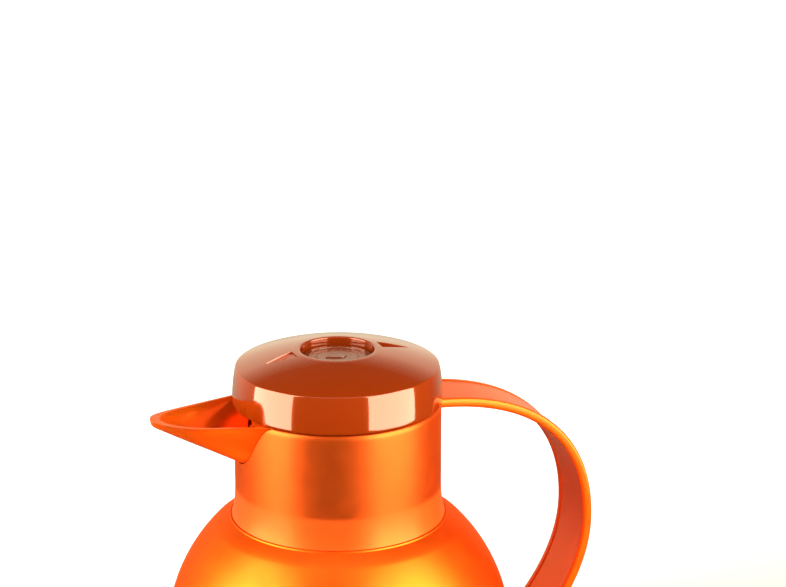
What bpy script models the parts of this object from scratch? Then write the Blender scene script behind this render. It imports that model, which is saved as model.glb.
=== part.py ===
"""Insulated pouring jug with a screw lid and a press button, modelled as separate pieces.

Units in this file are millimetres; every mesh is scaled to metres as it is built. The frame's origin is on the
jug's axis in the plane it stands on, +Z is up, the handle points along +X and the spout along -X.
"""

import math

import bmesh
import bpy
from mathutils import Matrix, Vector

MM = 0.001
GAP = 0.35                 # space kept between two pieces that touch
SEGMENTS = 32              # facets round every turned piece

# Body
BALL_R = 75.2              # outer radius of the ball
BALL_Z = 68.0              # height of the ball's centre
SHELL_INNER_R = 73.0
SPLIT_Z = 60.0             # joint between the two halves of the ball
RIM_Z = BALL_Z + 108.7     # lower edge of the lid
NECK_R = 44.3
NECK_INNER_R = 42.6
SEAM_R = 46.0              # neck sleeve's lower edge, where it meets the ball
SEAM_DROP = 50.8           # the seam's depth below the lid's lower edge
FOOT_R = 44.0

# Collar and spout
COLLAR_R = 42.2
COLLAR_INNER_R = 38.5
COLLAR_TOP = -1.0
COLLAR_FLOOR = -24.2
COLLAR_MOUTH_R = 24.8
SPOUT_TIP = 82.5           # from the axis to the tip
SPOUT_ROOT_S = 41.0        # where the half width below is taken
SPOUT_ROOT_HALF = 22.4
SPOUT_TAPER = 0.307        # loss of half width per millimetre of length
SPOUT_NOSE_S = 60.0        # the nose starts to round off here
SPOUT_NOSE_POWER = 2.6
SPOUT_KEEL_Z = -24.4       # keel height at the root
SPOUT_KEEL_RISE = 0.546    # keel's rise per millimetre
SPOUT_WALL = 1.9
SPOUT_LIP = 4.2            # rim width at the tip
SPOUT_RIM_Z = -0.5
SPOUT_TIP_LIFT = 1.4       # the rim climbs this much at the tip

# Handle
HANDLE_WIDTH = 29.0
HANDLE_THICKNESS = 3.3
HANDLE_BEAD = 4.1          # thickness of the rolled edges
HANDLE_START = (34.0, -2.6)
HANDLE_CREST = (112.0, -64.0)
HANDLE_END = (66.5, -137.0)
HANDLE_UPPER_PULLS = ((84.0, -1.9), (112.0, -25.0))
HANDLE_LOWER_PULLS = ((112.0, -93.0), (90.5, -118.5))
LUG_R = 3.2
LUG_ANGLE = math.radians(-18.2)

# Lid
LID_R = 45.0
LID_TOP = 22.74            # edge of the button's well above the lid's lower edge
WELL_R = 15.7
BUTTON_DROP = 3.2          # the button's face below the well's edge
BUTTON_R = 15.2
THREAD_LEAD = 24.0         # rise for one turn of the lid
THREAD_STARTS = 4
STOPPER_R = 36.8
THREAD_OUT = 38.1
THREAD_IN = 37.3
ROD_R = 2.4
SPRING_R = 6.4
SPRING_WIRE_R = 0.5
SPRING_TURNS = 8
SPRING_LOW = -11.1
SPRING_HIGH = 16.4

# Flask
GLASS = 1.5
GLASS_SEGMENTS = 20
FLASK_Z = 66.0             # height of the flask's centre
OUTER_GLASS_R = 69.5
INNER_GLASS_R = 62.9
OUTER_NECK_R = 31.0
INNER_NECK_R = 26.5
MOUTH_TOP = -28.9

PAINTS = {
    "gloss_orange": ((0.80, 0.17, 0.015, 1.0), 0.16, 0.0),
    "lid_orange": ((0.55, 0.085, 0.008, 1.0), 0.10, 0.0),
    "satin_orange": ((0.86, 0.23, 0.03, 1.0), 0.42, 0.0),
    "button_brown": ((0.36, 0.06, 0.01, 1.0), 0.25, 0.0),
    "white_plastic": ((0.80, 0.79, 0.75, 1.0), 0.35, 0.0),
    "grey_rubber": ((0.23, 0.23, 0.24, 1.0), 0.70, 0.0),
    "silicone": ((0.72, 0.71, 0.68, 1.0), 0.50, 0.0),
    "silvered_glass": ((0.85, 0.86, 0.88, 1.0), 0.08, 0.9),
    "steel": ((0.62, 0.62, 0.64, 1.0), 0.28, 1.0),
}


def clear_scene():
    """Remove every object of the open file."""
    for existing in list(bpy.data.objects):
        bpy.data.objects.remove(existing, do_unlink=True)


def paint(name):
    """Return the named Principled material, made on first use."""
    found = bpy.data.materials.get(name)
    if found:
        return found
    color, roughness, metallic = PAINTS[name]
    material = bpy.data.materials.new(name)
    material.use_nodes = True
    shader = material.node_tree.nodes["Principled BSDF"]
    shader.inputs["Base Color"].default_value = color
    shader.inputs["Roughness"].default_value = roughness
    shader.inputs["Metallic"].default_value = metallic
    return material


def finish(mesh_builder, name, paint_name):
    """Turn a bmesh in millimetres into a named, painted, smooth-shaded object in metres."""
    bmesh.ops.remove_doubles(mesh_builder, verts=mesh_builder.verts, dist=0.001)
    bmesh.ops.recalc_face_normals(mesh_builder, faces=mesh_builder.faces)
    bmesh.ops.scale(mesh_builder, vec=(MM, MM, MM), verts=mesh_builder.verts)
    mesh = bpy.data.meshes.new(name)
    mesh_builder.to_mesh(mesh)
    mesh_builder.free()
    mesh.shade_smooth()
    mesh.set_sharp_from_angle(angle=math.radians(35))
    piece = bpy.data.objects.new(name, mesh)
    bpy.context.scene.collection.objects.link(piece)
    if paint_name:
        mesh.materials.append(paint(paint_name))
    else:
        piece.hide_render = True
        piece.display_type = "WIRE"
    return piece


def turned(name, paint_name, outline, base_z=RIM_Z, segments=SEGMENTS):
    """Spin an outline of (radius, height) points about the jug's axis; heights are above base_z."""
    builder = bmesh.new()
    points = [builder.verts.new((radius, 0.0, base_z + height)) for radius, height in outline]
    closed = outline[0][0] > 0.0
    pairs = list(zip(points, points[1:]))
    if closed:
        pairs.append((points[-1], points[0]))
    edges = [builder.edges.new(pair) for pair in pairs]
    bmesh.ops.spin(builder, geom=points + edges, cent=(0, 0, 0), axis=(0, 0, 1),
                   angle=math.tau, steps=segments, use_merge=True)
    return finish(builder, name, paint_name)


def modify(piece, tool, operation):
    """Add a Boolean modifier to piece; the tool is a guide object or another piece."""
    boolean = piece.modifiers.new(operation.title(), "BOOLEAN")
    boolean.operation = operation
    boolean.object = tool
    boolean.solver = "EXACT"


def block(name, low, high):
    """A guide box between two corners, heights above the lid's lower edge."""
    builder = bmesh.new()
    bmesh.ops.create_cube(builder, size=1.0)
    size = Vector(high) - Vector(low)
    centre = (Vector(high) + Vector(low)) / 2 + Vector((0, 0, RIM_Z))
    bmesh.ops.scale(builder, vec=size, verts=builder.verts)
    bmesh.ops.translate(builder, vec=centre, verts=builder.verts)
    return finish(builder, name, None)


def rod(name, paint_name, radius, start, end, segments=16):
    """A straight cylinder between two points in millimetres."""
    builder = bmesh.new()
    axis = Vector(end) - Vector(start)
    turn = axis.to_track_quat("Z", "Y").to_matrix().to_4x4()
    place = Matrix.Translation((Vector(start) + Vector(end)) / 2) @ turn
    bmesh.ops.create_cone(builder, cap_ends=True, segments=segments, radius1=radius, radius2=radius,
                          depth=axis.length, matrix=place)
    return finish(builder, name, paint_name)


def arc(start, end, bulge, count):
    """Points from start to end along a shallow arc that stands bulge proud of the chord, to its left."""
    run, climb = end[0] - start[0], end[1] - start[1]
    length = math.hypot(run, climb)
    points = []
    for index in range(count + 1):
        part = index / count
        rise = 4 * bulge * part * (1 - part)
        points.append((start[0] + run * part - climb / length * rise,
                       start[1] + climb * part + run / length * rise))
    return points


def ball_arc(radius, start_z, end_z, count, centre=BALL_Z):
    """Points on a ball's meridian between two heights above the standing plane, both ends included."""
    first = math.asin((start_z - centre) / radius)
    last = math.asin((end_z - centre) / radius)
    angles = [first + (last - first) * index / count for index in range(count + 1)]
    return [(radius * math.cos(angle), centre + radius * math.sin(angle)) for angle in angles]


def bridge(builder, loops):
    """Join a row of vertex loops into a closed skin with filled ends."""
    rings = []
    for loop in loops:
        verts = [builder.verts.new(point) for point in loop]
        rings.append([builder.edges.new(pair) for pair in zip(verts, verts[1:] + verts[:1])])
    for ring, following in zip(rings, rings[1:]):
        bmesh.ops.bridge_loops(builder, edges=ring + following)
    for ring in (rings[0], rings[-1]):
        bmesh.ops.contextual_create(builder, geom=ring)
    bmesh.ops.triangulate(builder, faces=[face for face in builder.faces if len(face.verts) > 4])


def cubic(points, part):
    """A point on the cubic curve through four control points."""
    weights = ((1 - part) ** 3, 3 * part * (1 - part) ** 2, 3 * part ** 2 * (1 - part), part ** 3)
    return tuple(sum(weight * point[axis] for weight, point in zip(weights, points)) for axis in (0, 1))


# ---------------------------------------------------------------- body


def upper_shell():
    """Upper half of the ball, with the round opening that the neck sleeve snaps into."""
    shoulder_z = RIM_Z - 53.9
    outer = [(SEAM_R + 0.3, RIM_Z - 51.3), (47.6, RIM_Z - 51.45), (49.4, RIM_Z - 52.3)]
    outer += ball_arc(BALL_R, shoulder_z, SPLIT_Z + GAP, 7)
    inner = ball_arc(SHELL_INNER_R, SPLIT_Z + GAP, RIM_Z - 56.0, 6)
    lip = [(46.2, RIM_Z - 54.0), (45.2, RIM_Z - 52.9), (43.5, RIM_Z - 52.9), (43.5, RIM_Z - 51.9),
           (44.2, RIM_Z - 51.3)]
    turned("upper_shell", "satin_orange", outer + inner + lip, base_z=0.0)


def lower_shell():
    """Lower half of the ball with the foot, a tongue behind the joint and the hole for the handle's lug."""
    outer = ball_arc(BALL_R, SPLIT_Z, 9.0, 7)
    foot = [(44.6, 6.4), (FOOT_R, 4.0), (FOOT_R, 1.8), (43.2, 0.9), (41.7, 0.9), (41.7, 7.6)]
    inner = ball_arc(SHELL_INNER_R, 11.0, 54.0, 6)
    tongue = [(71.2, 56.5), (71.2, SPLIT_Z + 4.0), (72.3, SPLIT_Z + 4.0), (72.3, SPLIT_Z)]
    shell = turned("lower_shell", "satin_orange", outer + foot + inner + tongue, base_z=0.0)
    hole = rod("lug_hole", None, LUG_R + GAP, lug_point(SHELL_INNER_R - 4), lug_point(BALL_R + 6))
    modify(shell, hole, "DIFFERENCE")


def base_plate():
    """Bottom plate: the ring and the hub are the flat faces that the jug stands on."""
    turned("base_plate", "satin_orange", [
        (0.0, 3.0), (38.6, 3.0), (38.6, 8.2), (41.3, 8.2), (41.3, 0.9), (40.4, 0.0), (33.0, 0.0),
        (32.2, 1.2), (12.6, 1.2), (12.0, 0.0), (0.0, 0.0)], base_z=0.0)


def neck_sleeve():
    """Frosted sleeve round the neck: rounded top edge, flare to the seam and snap bead below it."""
    sleeve = turned("neck_sleeve", "satin_orange", [
        (NECK_INNER_R, -0.6), (43.3, -0.8), (43.9, -1.5), (44.2, -2.5), (NECK_R, -3.8), (NECK_R, -22.0),
        (NECK_R, -40.0), (44.5, -44.0), (45.0, -47.4), (45.7, -50.0), (SEAM_R, -SEAM_DROP),
        (43.1, -SEAM_DROP), (43.1, -53.3), (44.0, -53.7), (44.0, -54.1), (43.1, -54.8), (42.2, -54.8),
        (42.2, -48.0), (NECK_INNER_R, -42.0), (NECK_INNER_R, -22.0)])
    modify(sleeve, spout_body("spout_notch", grow=GAP + 0.1, top=8.0, reach=30.0), "DIFFERENCE")
    half = HANDLE_WIDTH / 2 + 0.5
    modify(sleeve, block("handle_notch", (38.0, -half, -5.2), (50.0, half, 4.0)), "DIFFERENCE")


# ---------------------------------------------------------------- collar and spout


def spout_half_width(distance, tip, inset):
    """Half width of the spout's rim at a distance from the axis."""
    straight = SPOUT_ROOT_HALF - SPOUT_TAPER * (distance - SPOUT_ROOT_S) - inset
    along = max(0.0, (distance - SPOUT_NOSE_S) / (tip - SPOUT_NOSE_S))
    return straight * max(0.0, 1 - along ** SPOUT_NOSE_POWER) ** (1 / SPOUT_NOSE_POWER)


def spout_rim(distance):
    """Height of the spout's rim at a distance from the axis."""
    along = max(0.0, (distance - SPOUT_NOSE_S) / (SPOUT_TIP - SPOUT_NOSE_S))
    return SPOUT_RIM_Z + SPOUT_TIP_LIFT * along ** 2


def spout_section(distance, tip, inset, grow, top):
    """Loop across the spout: a rounded V whose sides flare out at the rim."""
    half = spout_half_width(distance, tip, inset) + grow
    rim = spout_rim(distance)
    keel = SPOUT_KEEL_Z + SPOUT_KEEL_RISE * (distance - SPOUT_ROOT_S) + inset * 1.15 - grow
    depth = max(rim - keel, 0.6)
    curve = [cubic(((0, -1), (0.55, -1), (0.66, -0.25), (1, 0)), step / 6) for step in range(7)]
    right = [(-distance, half * across, RIM_Z + rim + depth * down) for across, down in curve]
    left = [(x, -y, z) for x, y, z in reversed(right[1:])]
    lid = [(-distance, -half, RIM_Z + rim + top), (-distance, half, RIM_Z + rim + top)] if top else []
    return left + right + lid[::-1]


def spout_body(name, grow=0.0, inset=0.0, top=0.0, reach=33.0, lip=0.0):
    """A closed solid in the shape of the spout, used as the spout itself and as its cutters."""
    tip = SPOUT_TIP - lip + grow
    last = tip - 0.25
    stations = [reach, 37.0, 41.0, 46.0, 53.0, SPOUT_NOSE_S]
    for step in range(1, 9):
        stations.append(SPOUT_NOSE_S + (last - SPOUT_NOSE_S) * math.sin(step / 8 * math.pi / 2))
    builder = bmesh.new()
    bridge(builder, [spout_section(distance, tip, inset, grow, top) for distance in stations])
    return finish(builder, name, None)


def helical_ribs(name, inner, outer, low, turn, skip=None):
    """Short ribs on a multi-start helix, square in section with sloping flanks.

    skip is a function of the angle: a rib whose middle it refuses is left out.
    """
    builder = bmesh.new()
    steps = 4
    for start in range(THREAD_STARTS * 2):
        middle = math.tau * start / (THREAD_STARTS * 2)
        if skip and skip(middle):
            continue
        base = low if start % 2 == 0 else low + THREAD_LEAD / THREAD_STARTS / 2
        loops = []
        for step in range(steps + 1):
            lean = (step / steps - 0.5) * turn
            height = RIM_Z + base + THREAD_LEAD * lean / math.tau
            loop = [(inner, -1.1), (outer, -0.6), (outer, 0.6), (inner, 1.1)]
            loops.append([(radius * math.cos(middle + lean), radius * math.sin(middle + lean), height + offset)
                          for radius, offset in loop])
        bridge(builder, loops)
    return finish(builder, name, None)


def collar_spout():
    """Glossy collar inside the neck with the pouring spout, the lid's thread and the handle's pocket."""
    collar = turned("spout_collar", "gloss_orange", [
        (COLLAR_INNER_R, COLLAR_TOP), (COLLAR_R, COLLAR_TOP), (COLLAR_R, -13.0), (COLLAR_R, COLLAR_FLOOR - 2.0),
        (COLLAR_MOUTH_R, COLLAR_FLOOR - 2.0), (COLLAR_MOUTH_R, COLLAR_FLOOR),
        (COLLAR_INNER_R, COLLAR_FLOOR), (COLLAR_INNER_R, -13.0)])
    outer = spout_body("spout_outside", reach=33.0)
    bore = turned("spout_bore", None, [(0.0, 10.0), (41.9, 10.0), (41.9, -40.0), (0.0, -40.0)])
    modify(outer, bore, "DIFFERENCE")
    modify(collar, outer, "UNION")
    modify(collar, spout_body("spout_inside", inset=SPOUT_WALL, top=8.0, reach=26.0, lip=SPOUT_LIP),
           "DIFFERENCE")
    ribs = helical_ribs("collar_ribs", COLLAR_INNER_R + 0.5, THREAD_IN, -6.2, math.radians(24),
                        skip=lambda angle: math.cos(angle) < -0.5)
    modify(collar, ribs, "UNION")
    modify(collar, block("tongue_pocket", (39.9, -10.4, -4.1), (46.0, 10.4, -1.6)), "DIFFERENCE")


def liner_neck_seal():
    """Rubber ring between the collar's floor and the flask's mouth."""
    top = COLLAR_FLOOR - 2.0 - GAP
    low = MOUTH_TOP + GAP
    turned("liner_neck_seal", "silicone", [
        (25.4, top), (31.4, top), (31.9, top - 0.6), (31.4, low), (25.4, low)], segments=24)


# ---------------------------------------------------------------- handle


def lug_point(radius):
    """A point on the axis of the handle's lug, which is square to the ball."""
    return (radius * math.cos(LUG_ANGLE), 0.0, BALL_Z + radius * math.sin(LUG_ANGLE))


def handle_line(count):
    """Points and tangents of the handle's middle line in the XZ plane, from the neck to the ball."""
    halves = ((HANDLE_START,) + HANDLE_UPPER_PULLS + (HANDLE_CREST,),
              (HANDLE_CREST,) + HANDLE_LOWER_PULLS + (HANDLE_END,))
    points = [cubic(halves[0], step / count) for step in range(count)]
    points += [cubic(halves[1], step / count) for step in range(count + 1)]
    line = []
    for index, point in enumerate(points):
        before, after = points[max(index - 1, 0)], points[min(index + 1, len(points) - 1)]
        tangent = Vector((after[0] - before[0], after[1] - before[1])).normalized()
        line.append((Vector(point), tangent))
    return line


def handle():
    """Flat ribbon handle with rolled edges, a tongue for the collar and a lug for the ball."""
    half, thin, bead = HANDLE_WIDTH / 2, HANDLE_THICKNESS / 2, HANDLE_BEAD / 2
    outline = [(half - 3.6, thin), (half - 2.7, bead), (half - 1.0, bead), (half, bead * 0.35)]
    ring = outline + [(across, -out) for across, out in reversed(outline)]
    ring += [(-across, -out) for across, out in ring]
    builder = bmesh.new()
    loops = []
    for point, tangent in handle_line(12):
        outward = Vector((-tangent[1], tangent[0]))
        loops.append([(point[0] + outward[0] * out, across, RIM_Z + point[1] + outward[1] * out)
                      for across, out in ring])
    bridge(builder, loops)
    ribbon = finish(builder, "handle", "gloss_orange")
    bore = turned("handle_bore", None, [(0.0, 10.0), (NECK_INNER_R, 10.0), (NECK_INNER_R, -20.0), (0.0, -20.0)])
    modify(ribbon, bore, "DIFFERENCE")
    ball = turned("handle_ball", None, ball_arc_closed(BALL_R + 0.55), base_z=0.0)
    modify(ribbon, ball, "DIFFERENCE")
    modify(ribbon, block("handle_tongue", (40.3, -10.0, -3.75), (44.6, 10.0, -2.0)), "UNION")
    modify(ribbon, rod("handle_lug", None, LUG_R, lug_point(SHELL_INNER_R), lug_point(BALL_R + 1.4)), "UNION")
    modify(ribbon, rod("lug_bore", None, 1.6, lug_point(SHELL_INNER_R - 2), lug_point(BALL_R + 0.5)), "DIFFERENCE")


def ball_arc_closed(radius):
    """Outline of a whole ball from its top pole down to its bottom pole."""
    count = 30
    points = [(0.0, BALL_Z + radius)]
    for step in range(1, count):
        angle = math.pi / 2 - math.pi * step / count
        points.append((radius * math.cos(angle), BALL_Z + radius * math.sin(angle)))
    return points + [(0.0, BALL_Z - radius)]


def handle_screw():
    """Screw that draws the lug tight from inside the shell."""
    screw = rod("handle_screw", "steel", 1.2, lug_point(SHELL_INNER_R - 1.0), lug_point(BALL_R - 0.1), 12)
    head = rod("screw_head", None, 4.6, lug_point(SHELL_INNER_R - 1.9), lug_point(SHELL_INNER_R - 0.9), 12)
    modify(screw, head, "UNION")


# ---------------------------------------------------------------- flask


def flask_bowl(radius, bottom, top):
    """Lower part of a flask surface, from the axis at the bottom up to a height."""
    flat = math.sqrt(radius ** 2 - (FLASK_Z - bottom) ** 2)
    return [(0.0, bottom), (flat * 0.72, bottom), (flat * 0.95, bottom + 1.4)] + ball_arc(
        radius, bottom + 5.5, top, 4, FLASK_Z)


def flask_shoulder(radius, neck_radius, low, top):
    """Upper part of a flask surface, from a height up to the neck's top."""
    meet = FLASK_Z + math.sqrt(radius ** 2 - neck_radius ** 2)
    return ball_arc(radius, low, meet - 7.0, 5, FLASK_Z) + [
        (neck_radius + 1.6, meet - 0.6), (neck_radius, meet + 4.0), (neck_radius, top)]


def flask_wall(radius, neck_radius, top, bottom):
    """One whole surface of a flask wall, from the axis at the bottom up to the neck's top."""
    return flask_bowl(radius, bottom, FLASK_Z) + flask_shoulder(radius, neck_radius, FLASK_Z, top)[1:]


def inner_glass():
    """Inner wall of the vacuum flask: a bowl, and an upper half with the rolled rim that both walls share."""
    low, high = FLASK_Z - GAP / 2, FLASK_Z + GAP / 2
    bowl = flask_bowl(INNER_GLASS_R, 19.0, low) + flask_bowl(INNER_GLASS_R - GLASS, 19.0 + GLASS, low)[::-1]
    turned("inner_glass_bowl", "silvered_glass", bowl, base_z=0.0, segments=GLASS_SEGMENTS)
    mouth = RIM_Z + MOUTH_TOP
    outside = flask_shoulder(INNER_GLASS_R, INNER_NECK_R, high, mouth - 3.6)
    inside = flask_shoulder(INNER_GLASS_R - GLASS, INNER_NECK_R - GLASS, high, mouth - 0.6)
    rim = [(27.2, mouth - 1.6), (30.2, mouth - 1.6), (31.0, mouth - 0.8), (30.2, mouth), (25.8, mouth)]
    turned("inner_glass_top", "silvered_glass", outside + rim + inside[::-1], base_z=0.0, segments=GLASS_SEGMENTS)


def outer_glass():
    """Outer wall of the vacuum flask with the sealed-off tip of its exhaust tube at the bottom."""
    bottom, top = 12.6, RIM_Z + MOUTH_TOP - 1.6 - GAP
    outside = flask_wall(OUTER_GLASS_R, OUTER_NECK_R, top, bottom)
    inside = flask_wall(OUTER_GLASS_R - GLASS, OUTER_NECK_R - GLASS, top, bottom + GLASS)
    tip = [(0.0, bottom - 6.0), (1.4, bottom - 5.4), (3.4, bottom)]
    turned("outer_glass", "silvered_glass", tip + outside[1:] + inside[::-1], base_z=0.0,
           segments=GLASS_SEGMENTS)


def glass_spacers():
    """Three small pads that hold the glass walls apart."""
    lean = math.radians(-36)
    reach = (INNER_GLASS_R + OUTER_GLASS_R - GLASS) / 2
    for index in range(3):
        turn = math.tau * index / 3 + math.radians(30)
        outward = Vector((math.cos(turn) * math.cos(lean), math.sin(turn) * math.cos(lean), math.sin(lean)))
        centre = Vector((0, 0, FLASK_Z))
        rod(f"glass_spacer_{index + 1}", "grey_rubber", 4.0, centre + outward * (reach - 1.2),
            centre + outward * (reach + 1.2), 12)


def liner_cushion():
    """Rubber cushion that carries the flask and leaves room for its tip."""
    turned("liner_cushion", "grey_rubber", [
        (8.0, 3.4), (27.0, 3.4), (30.0, 6.0), (33.0, 9.2), (33.0, 12.2), (28.6, 12.2), (27.0, 9.6),
        (14.0, 9.6), (12.4, 12.2), (8.0, 12.2)], base_z=0.0, segments=20)


# ---------------------------------------------------------------- lid


def lid_cover():
    """Domed cover with the button's well and, inside, the guide tube and the ring that grips the stopper."""
    well_edge = [(WELL_R, LID_TOP - 0.9), (WELL_R + 0.5, LID_TOP - 0.1), (WELL_R + 1.1, LID_TOP)]
    dome = arc((WELL_R + 1.7, LID_TOP - 0.15), (41.0, 15.95), 0.5, 4)
    shoulder = [(42.0, 15.55), (42.75, 14.7), (43.35, 12.9)]
    wall = arc((43.95, 10.8), (LID_R, 0.9), 0.22, 2)
    rim = [(LID_R - 0.4, 0.0), (43.3, 0.0), (43.0, 0.4)]
    inside = [(42.6, 6.0), (41.6, 11.6), (40.6, 13.3), (38.9, 13.9)]
    grip = [(38.9, 3.0), (42.0, 3.0), (42.0, 1.4), (37.2, 1.4), (37.2, 14.4)]
    roof = [(27.0, 17.9), (18.6, 20.2), (17.9, 19.5)]
    guide = [(17.9, 9.1), (WELL_R, 9.1)]
    cover = turned("lid_cover", "lid_orange", well_edge + dome + shoulder + wall + rim + inside + grip + roof + guide)
    modify(cover, lid_arrows(), "DIFFERENCE")


def lid_arrows():
    """Cutter for the two shallow triangular marks on the dome, pointing to the spout and to the handle."""
    builder = bmesh.new()
    for side in (1, -1):
        outline = [(20.0, -3.5), (31.0, 0.0), (20.0, 3.5)]
        low = [(side * along, across, RIM_Z + 21.2 - 0.255 * (along - 20.0)) for along, across in outline]
        high = [(x, y, z + 4.0) for x, y, z in low]
        bridge(builder, [low, high])
    return finish(builder, "arrow_cutter", None)


def stopper_body():
    """Stopper under the cover: threaded skirt, pouring chamber with ports, and the plug with the valve seat."""
    stopper = turned("stopper_body", "gloss_orange", [
        (34.8, 10.8), (STOPPER_R, 10.8), (STOPPER_R, -1.0), (STOPPER_R, -13.0), (36.0, -13.8), (30.6, -13.8),
        (30.6, -21.0), (29.8, -21.9), (22.2, -21.9), (22.2, -38.6), (21.0, -40.0), (9.0, -40.0), (9.0, -38.2),
        (19.6, -38.2), (20.4, -37.2), (20.4, -20.2), (28.6, -20.2), (28.6, -13.8), (2.8, -13.8),
        (2.8, -9.5), (4.4, -9.5), (4.4, -6.0), (5.4, -6.0), (5.4, -12.0), (34.8, -12.0), (34.8, -1.0)])
    ribs = helical_ribs("stopper_ribs", STOPPER_R - 0.5, THREAD_OUT, -9.2, math.radians(24))
    modify(stopper, ribs, "UNION")
    modify(stopper, port_cutter(), "DIFFERENCE")


def port_cutter():
    """Cutter for the six ports through which the drink leaves the stopper."""
    builder = bmesh.new()
    for index in range(6):
        turn = Matrix.Rotation(math.tau * index / 6, 4, "Z")
        place = turn @ Matrix.Translation((29.6, 0, RIM_Z - 17.3)) @ Matrix.Diagonal((7.0, 18.0, 5.2, 1.0))
        bmesh.ops.create_cube(builder, size=1.0, matrix=place)
    return finish(builder, "port_cutter", None)


def stopper_seal():
    """Flat ring that closes the collar's mouth round the plug."""
    turned("stopper_seal", "silicone", [
        (23.0, -22.3), (29.4, -22.3), (30.2, -22.8), (29.4, -23.8), (27.8, -23.8), (27.0, -23.3), (23.0, -23.3)],
        segments=24)


def lid_gasket():
    """Ring between the cover and the collar's top edge."""
    turned("lid_gasket", "silicone", [
        (39.3, 1.05), (41.3, 1.05), (41.3, -0.1), (40.8, -0.65), (39.8, -0.65), (39.3, -0.1)])


def button():
    """Round press button with its retaining flange and the boss that holds the push rod."""
    face = LID_TOP - BUTTON_DROP
    turned("press_button", "button_brown", [
        (0.0, face), (13.4, face), (14.6, face - 0.1), (BUTTON_R, face - 0.8), (BUTTON_R, 8.7), (17.2, 8.7),
        (17.2, 7.0), (13.6, 7.0), (13.6, 17.2), (4.0, 17.2), (4.0, 12.4), (2.75, 12.4), (2.75, 16.2), (0.0, 16.2)])


def push_rod():
    """Rod from the button through the stopper to the valve, with the head that carries the valve plate."""
    turned("push_rod", "white_plastic", [
        (0.0, 15.85), (2.0, 15.85), (ROD_R, 15.4), (ROD_R, -46.0), (4.2, -46.0), (4.2, -47.0), (3.6, -47.6),
        (0.0, -47.6)], segments=24)


def rod_seal():
    """Small ring that keeps the drink out of the button's well."""
    middle, thick = 3.5, 0.62
    outline = [(middle + thick * math.cos(angle), -8.5 + thick * math.sin(angle))
               for angle in [-math.tau * step / 8 for step in range(8)]]
    turned("rod_seal", "silicone", outline, segments=16)


def valve_plate():
    """Disc under the plug that presses the valve seal up against its seat."""
    turned("valve_plate", "white_plastic", [
        (2.8, -43.7), (12.8, -43.7), (12.8, -45.0), (12.0, -45.6), (2.8, -45.6)], segments=24)


def valve_seal():
    """Rubber washer that closes the plug's opening."""
    turned("valve_seal", "grey_rubber", [
        (2.8, -40.6), (8.2, -40.6), (9.4, -40.35), (11.0, -40.35), (12.0, -40.9), (12.0, -43.35), (2.8, -43.35)],
        segments=24)


def button_spring():
    """Compression spring round the push rod, between the stopper and the button."""
    builder = bmesh.new()
    sides, per_turn = 4, 8
    loops = []
    for step in range(SPRING_TURNS * per_turn + 1):
        angle = math.tau * step / per_turn
        height = RIM_Z + SPRING_LOW + (SPRING_HIGH - SPRING_LOW) * step / (SPRING_TURNS * per_turn)
        loop = []
        for side in range(sides):
            around = math.tau * side / sides
            radius = SPRING_R + SPRING_WIRE_R * math.cos(around)
            loop.append((radius * math.cos(angle), radius * math.sin(angle),
                         height + SPRING_WIRE_R * math.sin(around)))
        loops.append(loop)
    bridge(builder, loops)
    finish(builder, "button_spring", "steel")


def build_jug():
    """Make every piece of the jug."""
    clear_scene()
    for make in (upper_shell, lower_shell, base_plate, neck_sleeve, collar_spout, liner_neck_seal, handle,
                 handle_screw, inner_glass, outer_glass, glass_spacers, liner_cushion, lid_cover, stopper_body,
                 stopper_seal, lid_gasket, button, push_rod, rod_seal, valve_plate, valve_seal, button_spring):
        make()


build_jug()
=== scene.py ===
"""Finished look of an insulated pouring jug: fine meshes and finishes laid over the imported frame.

Sizes in the classes are millimetres; every mesh is scaled to metres as it is placed. Heights are above the
lid's lower edge unless a docstring says that they are above the plane the jug stands on. The spout points
along -X and the handle along +X.
"""

import logging
import math
from collections.abc import Callable, Sequence
from dataclasses import dataclass
from enum import Enum

import bmesh
import bpy
from mathutils import Matrix, Vector


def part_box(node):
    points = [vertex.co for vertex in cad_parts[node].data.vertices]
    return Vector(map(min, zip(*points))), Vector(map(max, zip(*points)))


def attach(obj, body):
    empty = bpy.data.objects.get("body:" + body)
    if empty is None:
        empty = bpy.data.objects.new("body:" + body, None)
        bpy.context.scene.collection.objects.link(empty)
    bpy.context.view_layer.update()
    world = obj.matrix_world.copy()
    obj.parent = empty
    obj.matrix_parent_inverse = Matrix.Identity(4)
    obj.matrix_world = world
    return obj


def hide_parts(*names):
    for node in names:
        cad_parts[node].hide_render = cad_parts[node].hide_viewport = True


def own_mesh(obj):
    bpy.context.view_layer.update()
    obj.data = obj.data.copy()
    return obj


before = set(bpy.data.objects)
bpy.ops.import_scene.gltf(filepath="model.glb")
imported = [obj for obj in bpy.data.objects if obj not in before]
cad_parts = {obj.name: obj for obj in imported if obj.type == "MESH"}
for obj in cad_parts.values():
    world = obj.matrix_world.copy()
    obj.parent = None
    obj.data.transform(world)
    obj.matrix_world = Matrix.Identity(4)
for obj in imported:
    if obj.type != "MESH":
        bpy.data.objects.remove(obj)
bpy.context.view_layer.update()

MM = 0.001
SEGMENTS = 160             # facets round the large turned pieces
SMALL_SEGMENTS = 72        # facets round the small ones
SHARP_ANGLE = math.radians(32)
MERGE = 0.002              # vertices nearer than this are one, in millimetres

Point = tuple[float, float]
Corner = tuple[float, ...]
Rgb = tuple[float, float, float]

log = logging.getLogger("jug")


class Body(Enum):
    """The four bodies of the frame that pieces ride on."""

    JUG = "jug"
    RING = "lid_ring"
    LID = "lid"
    BUTTON = "button"


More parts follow.
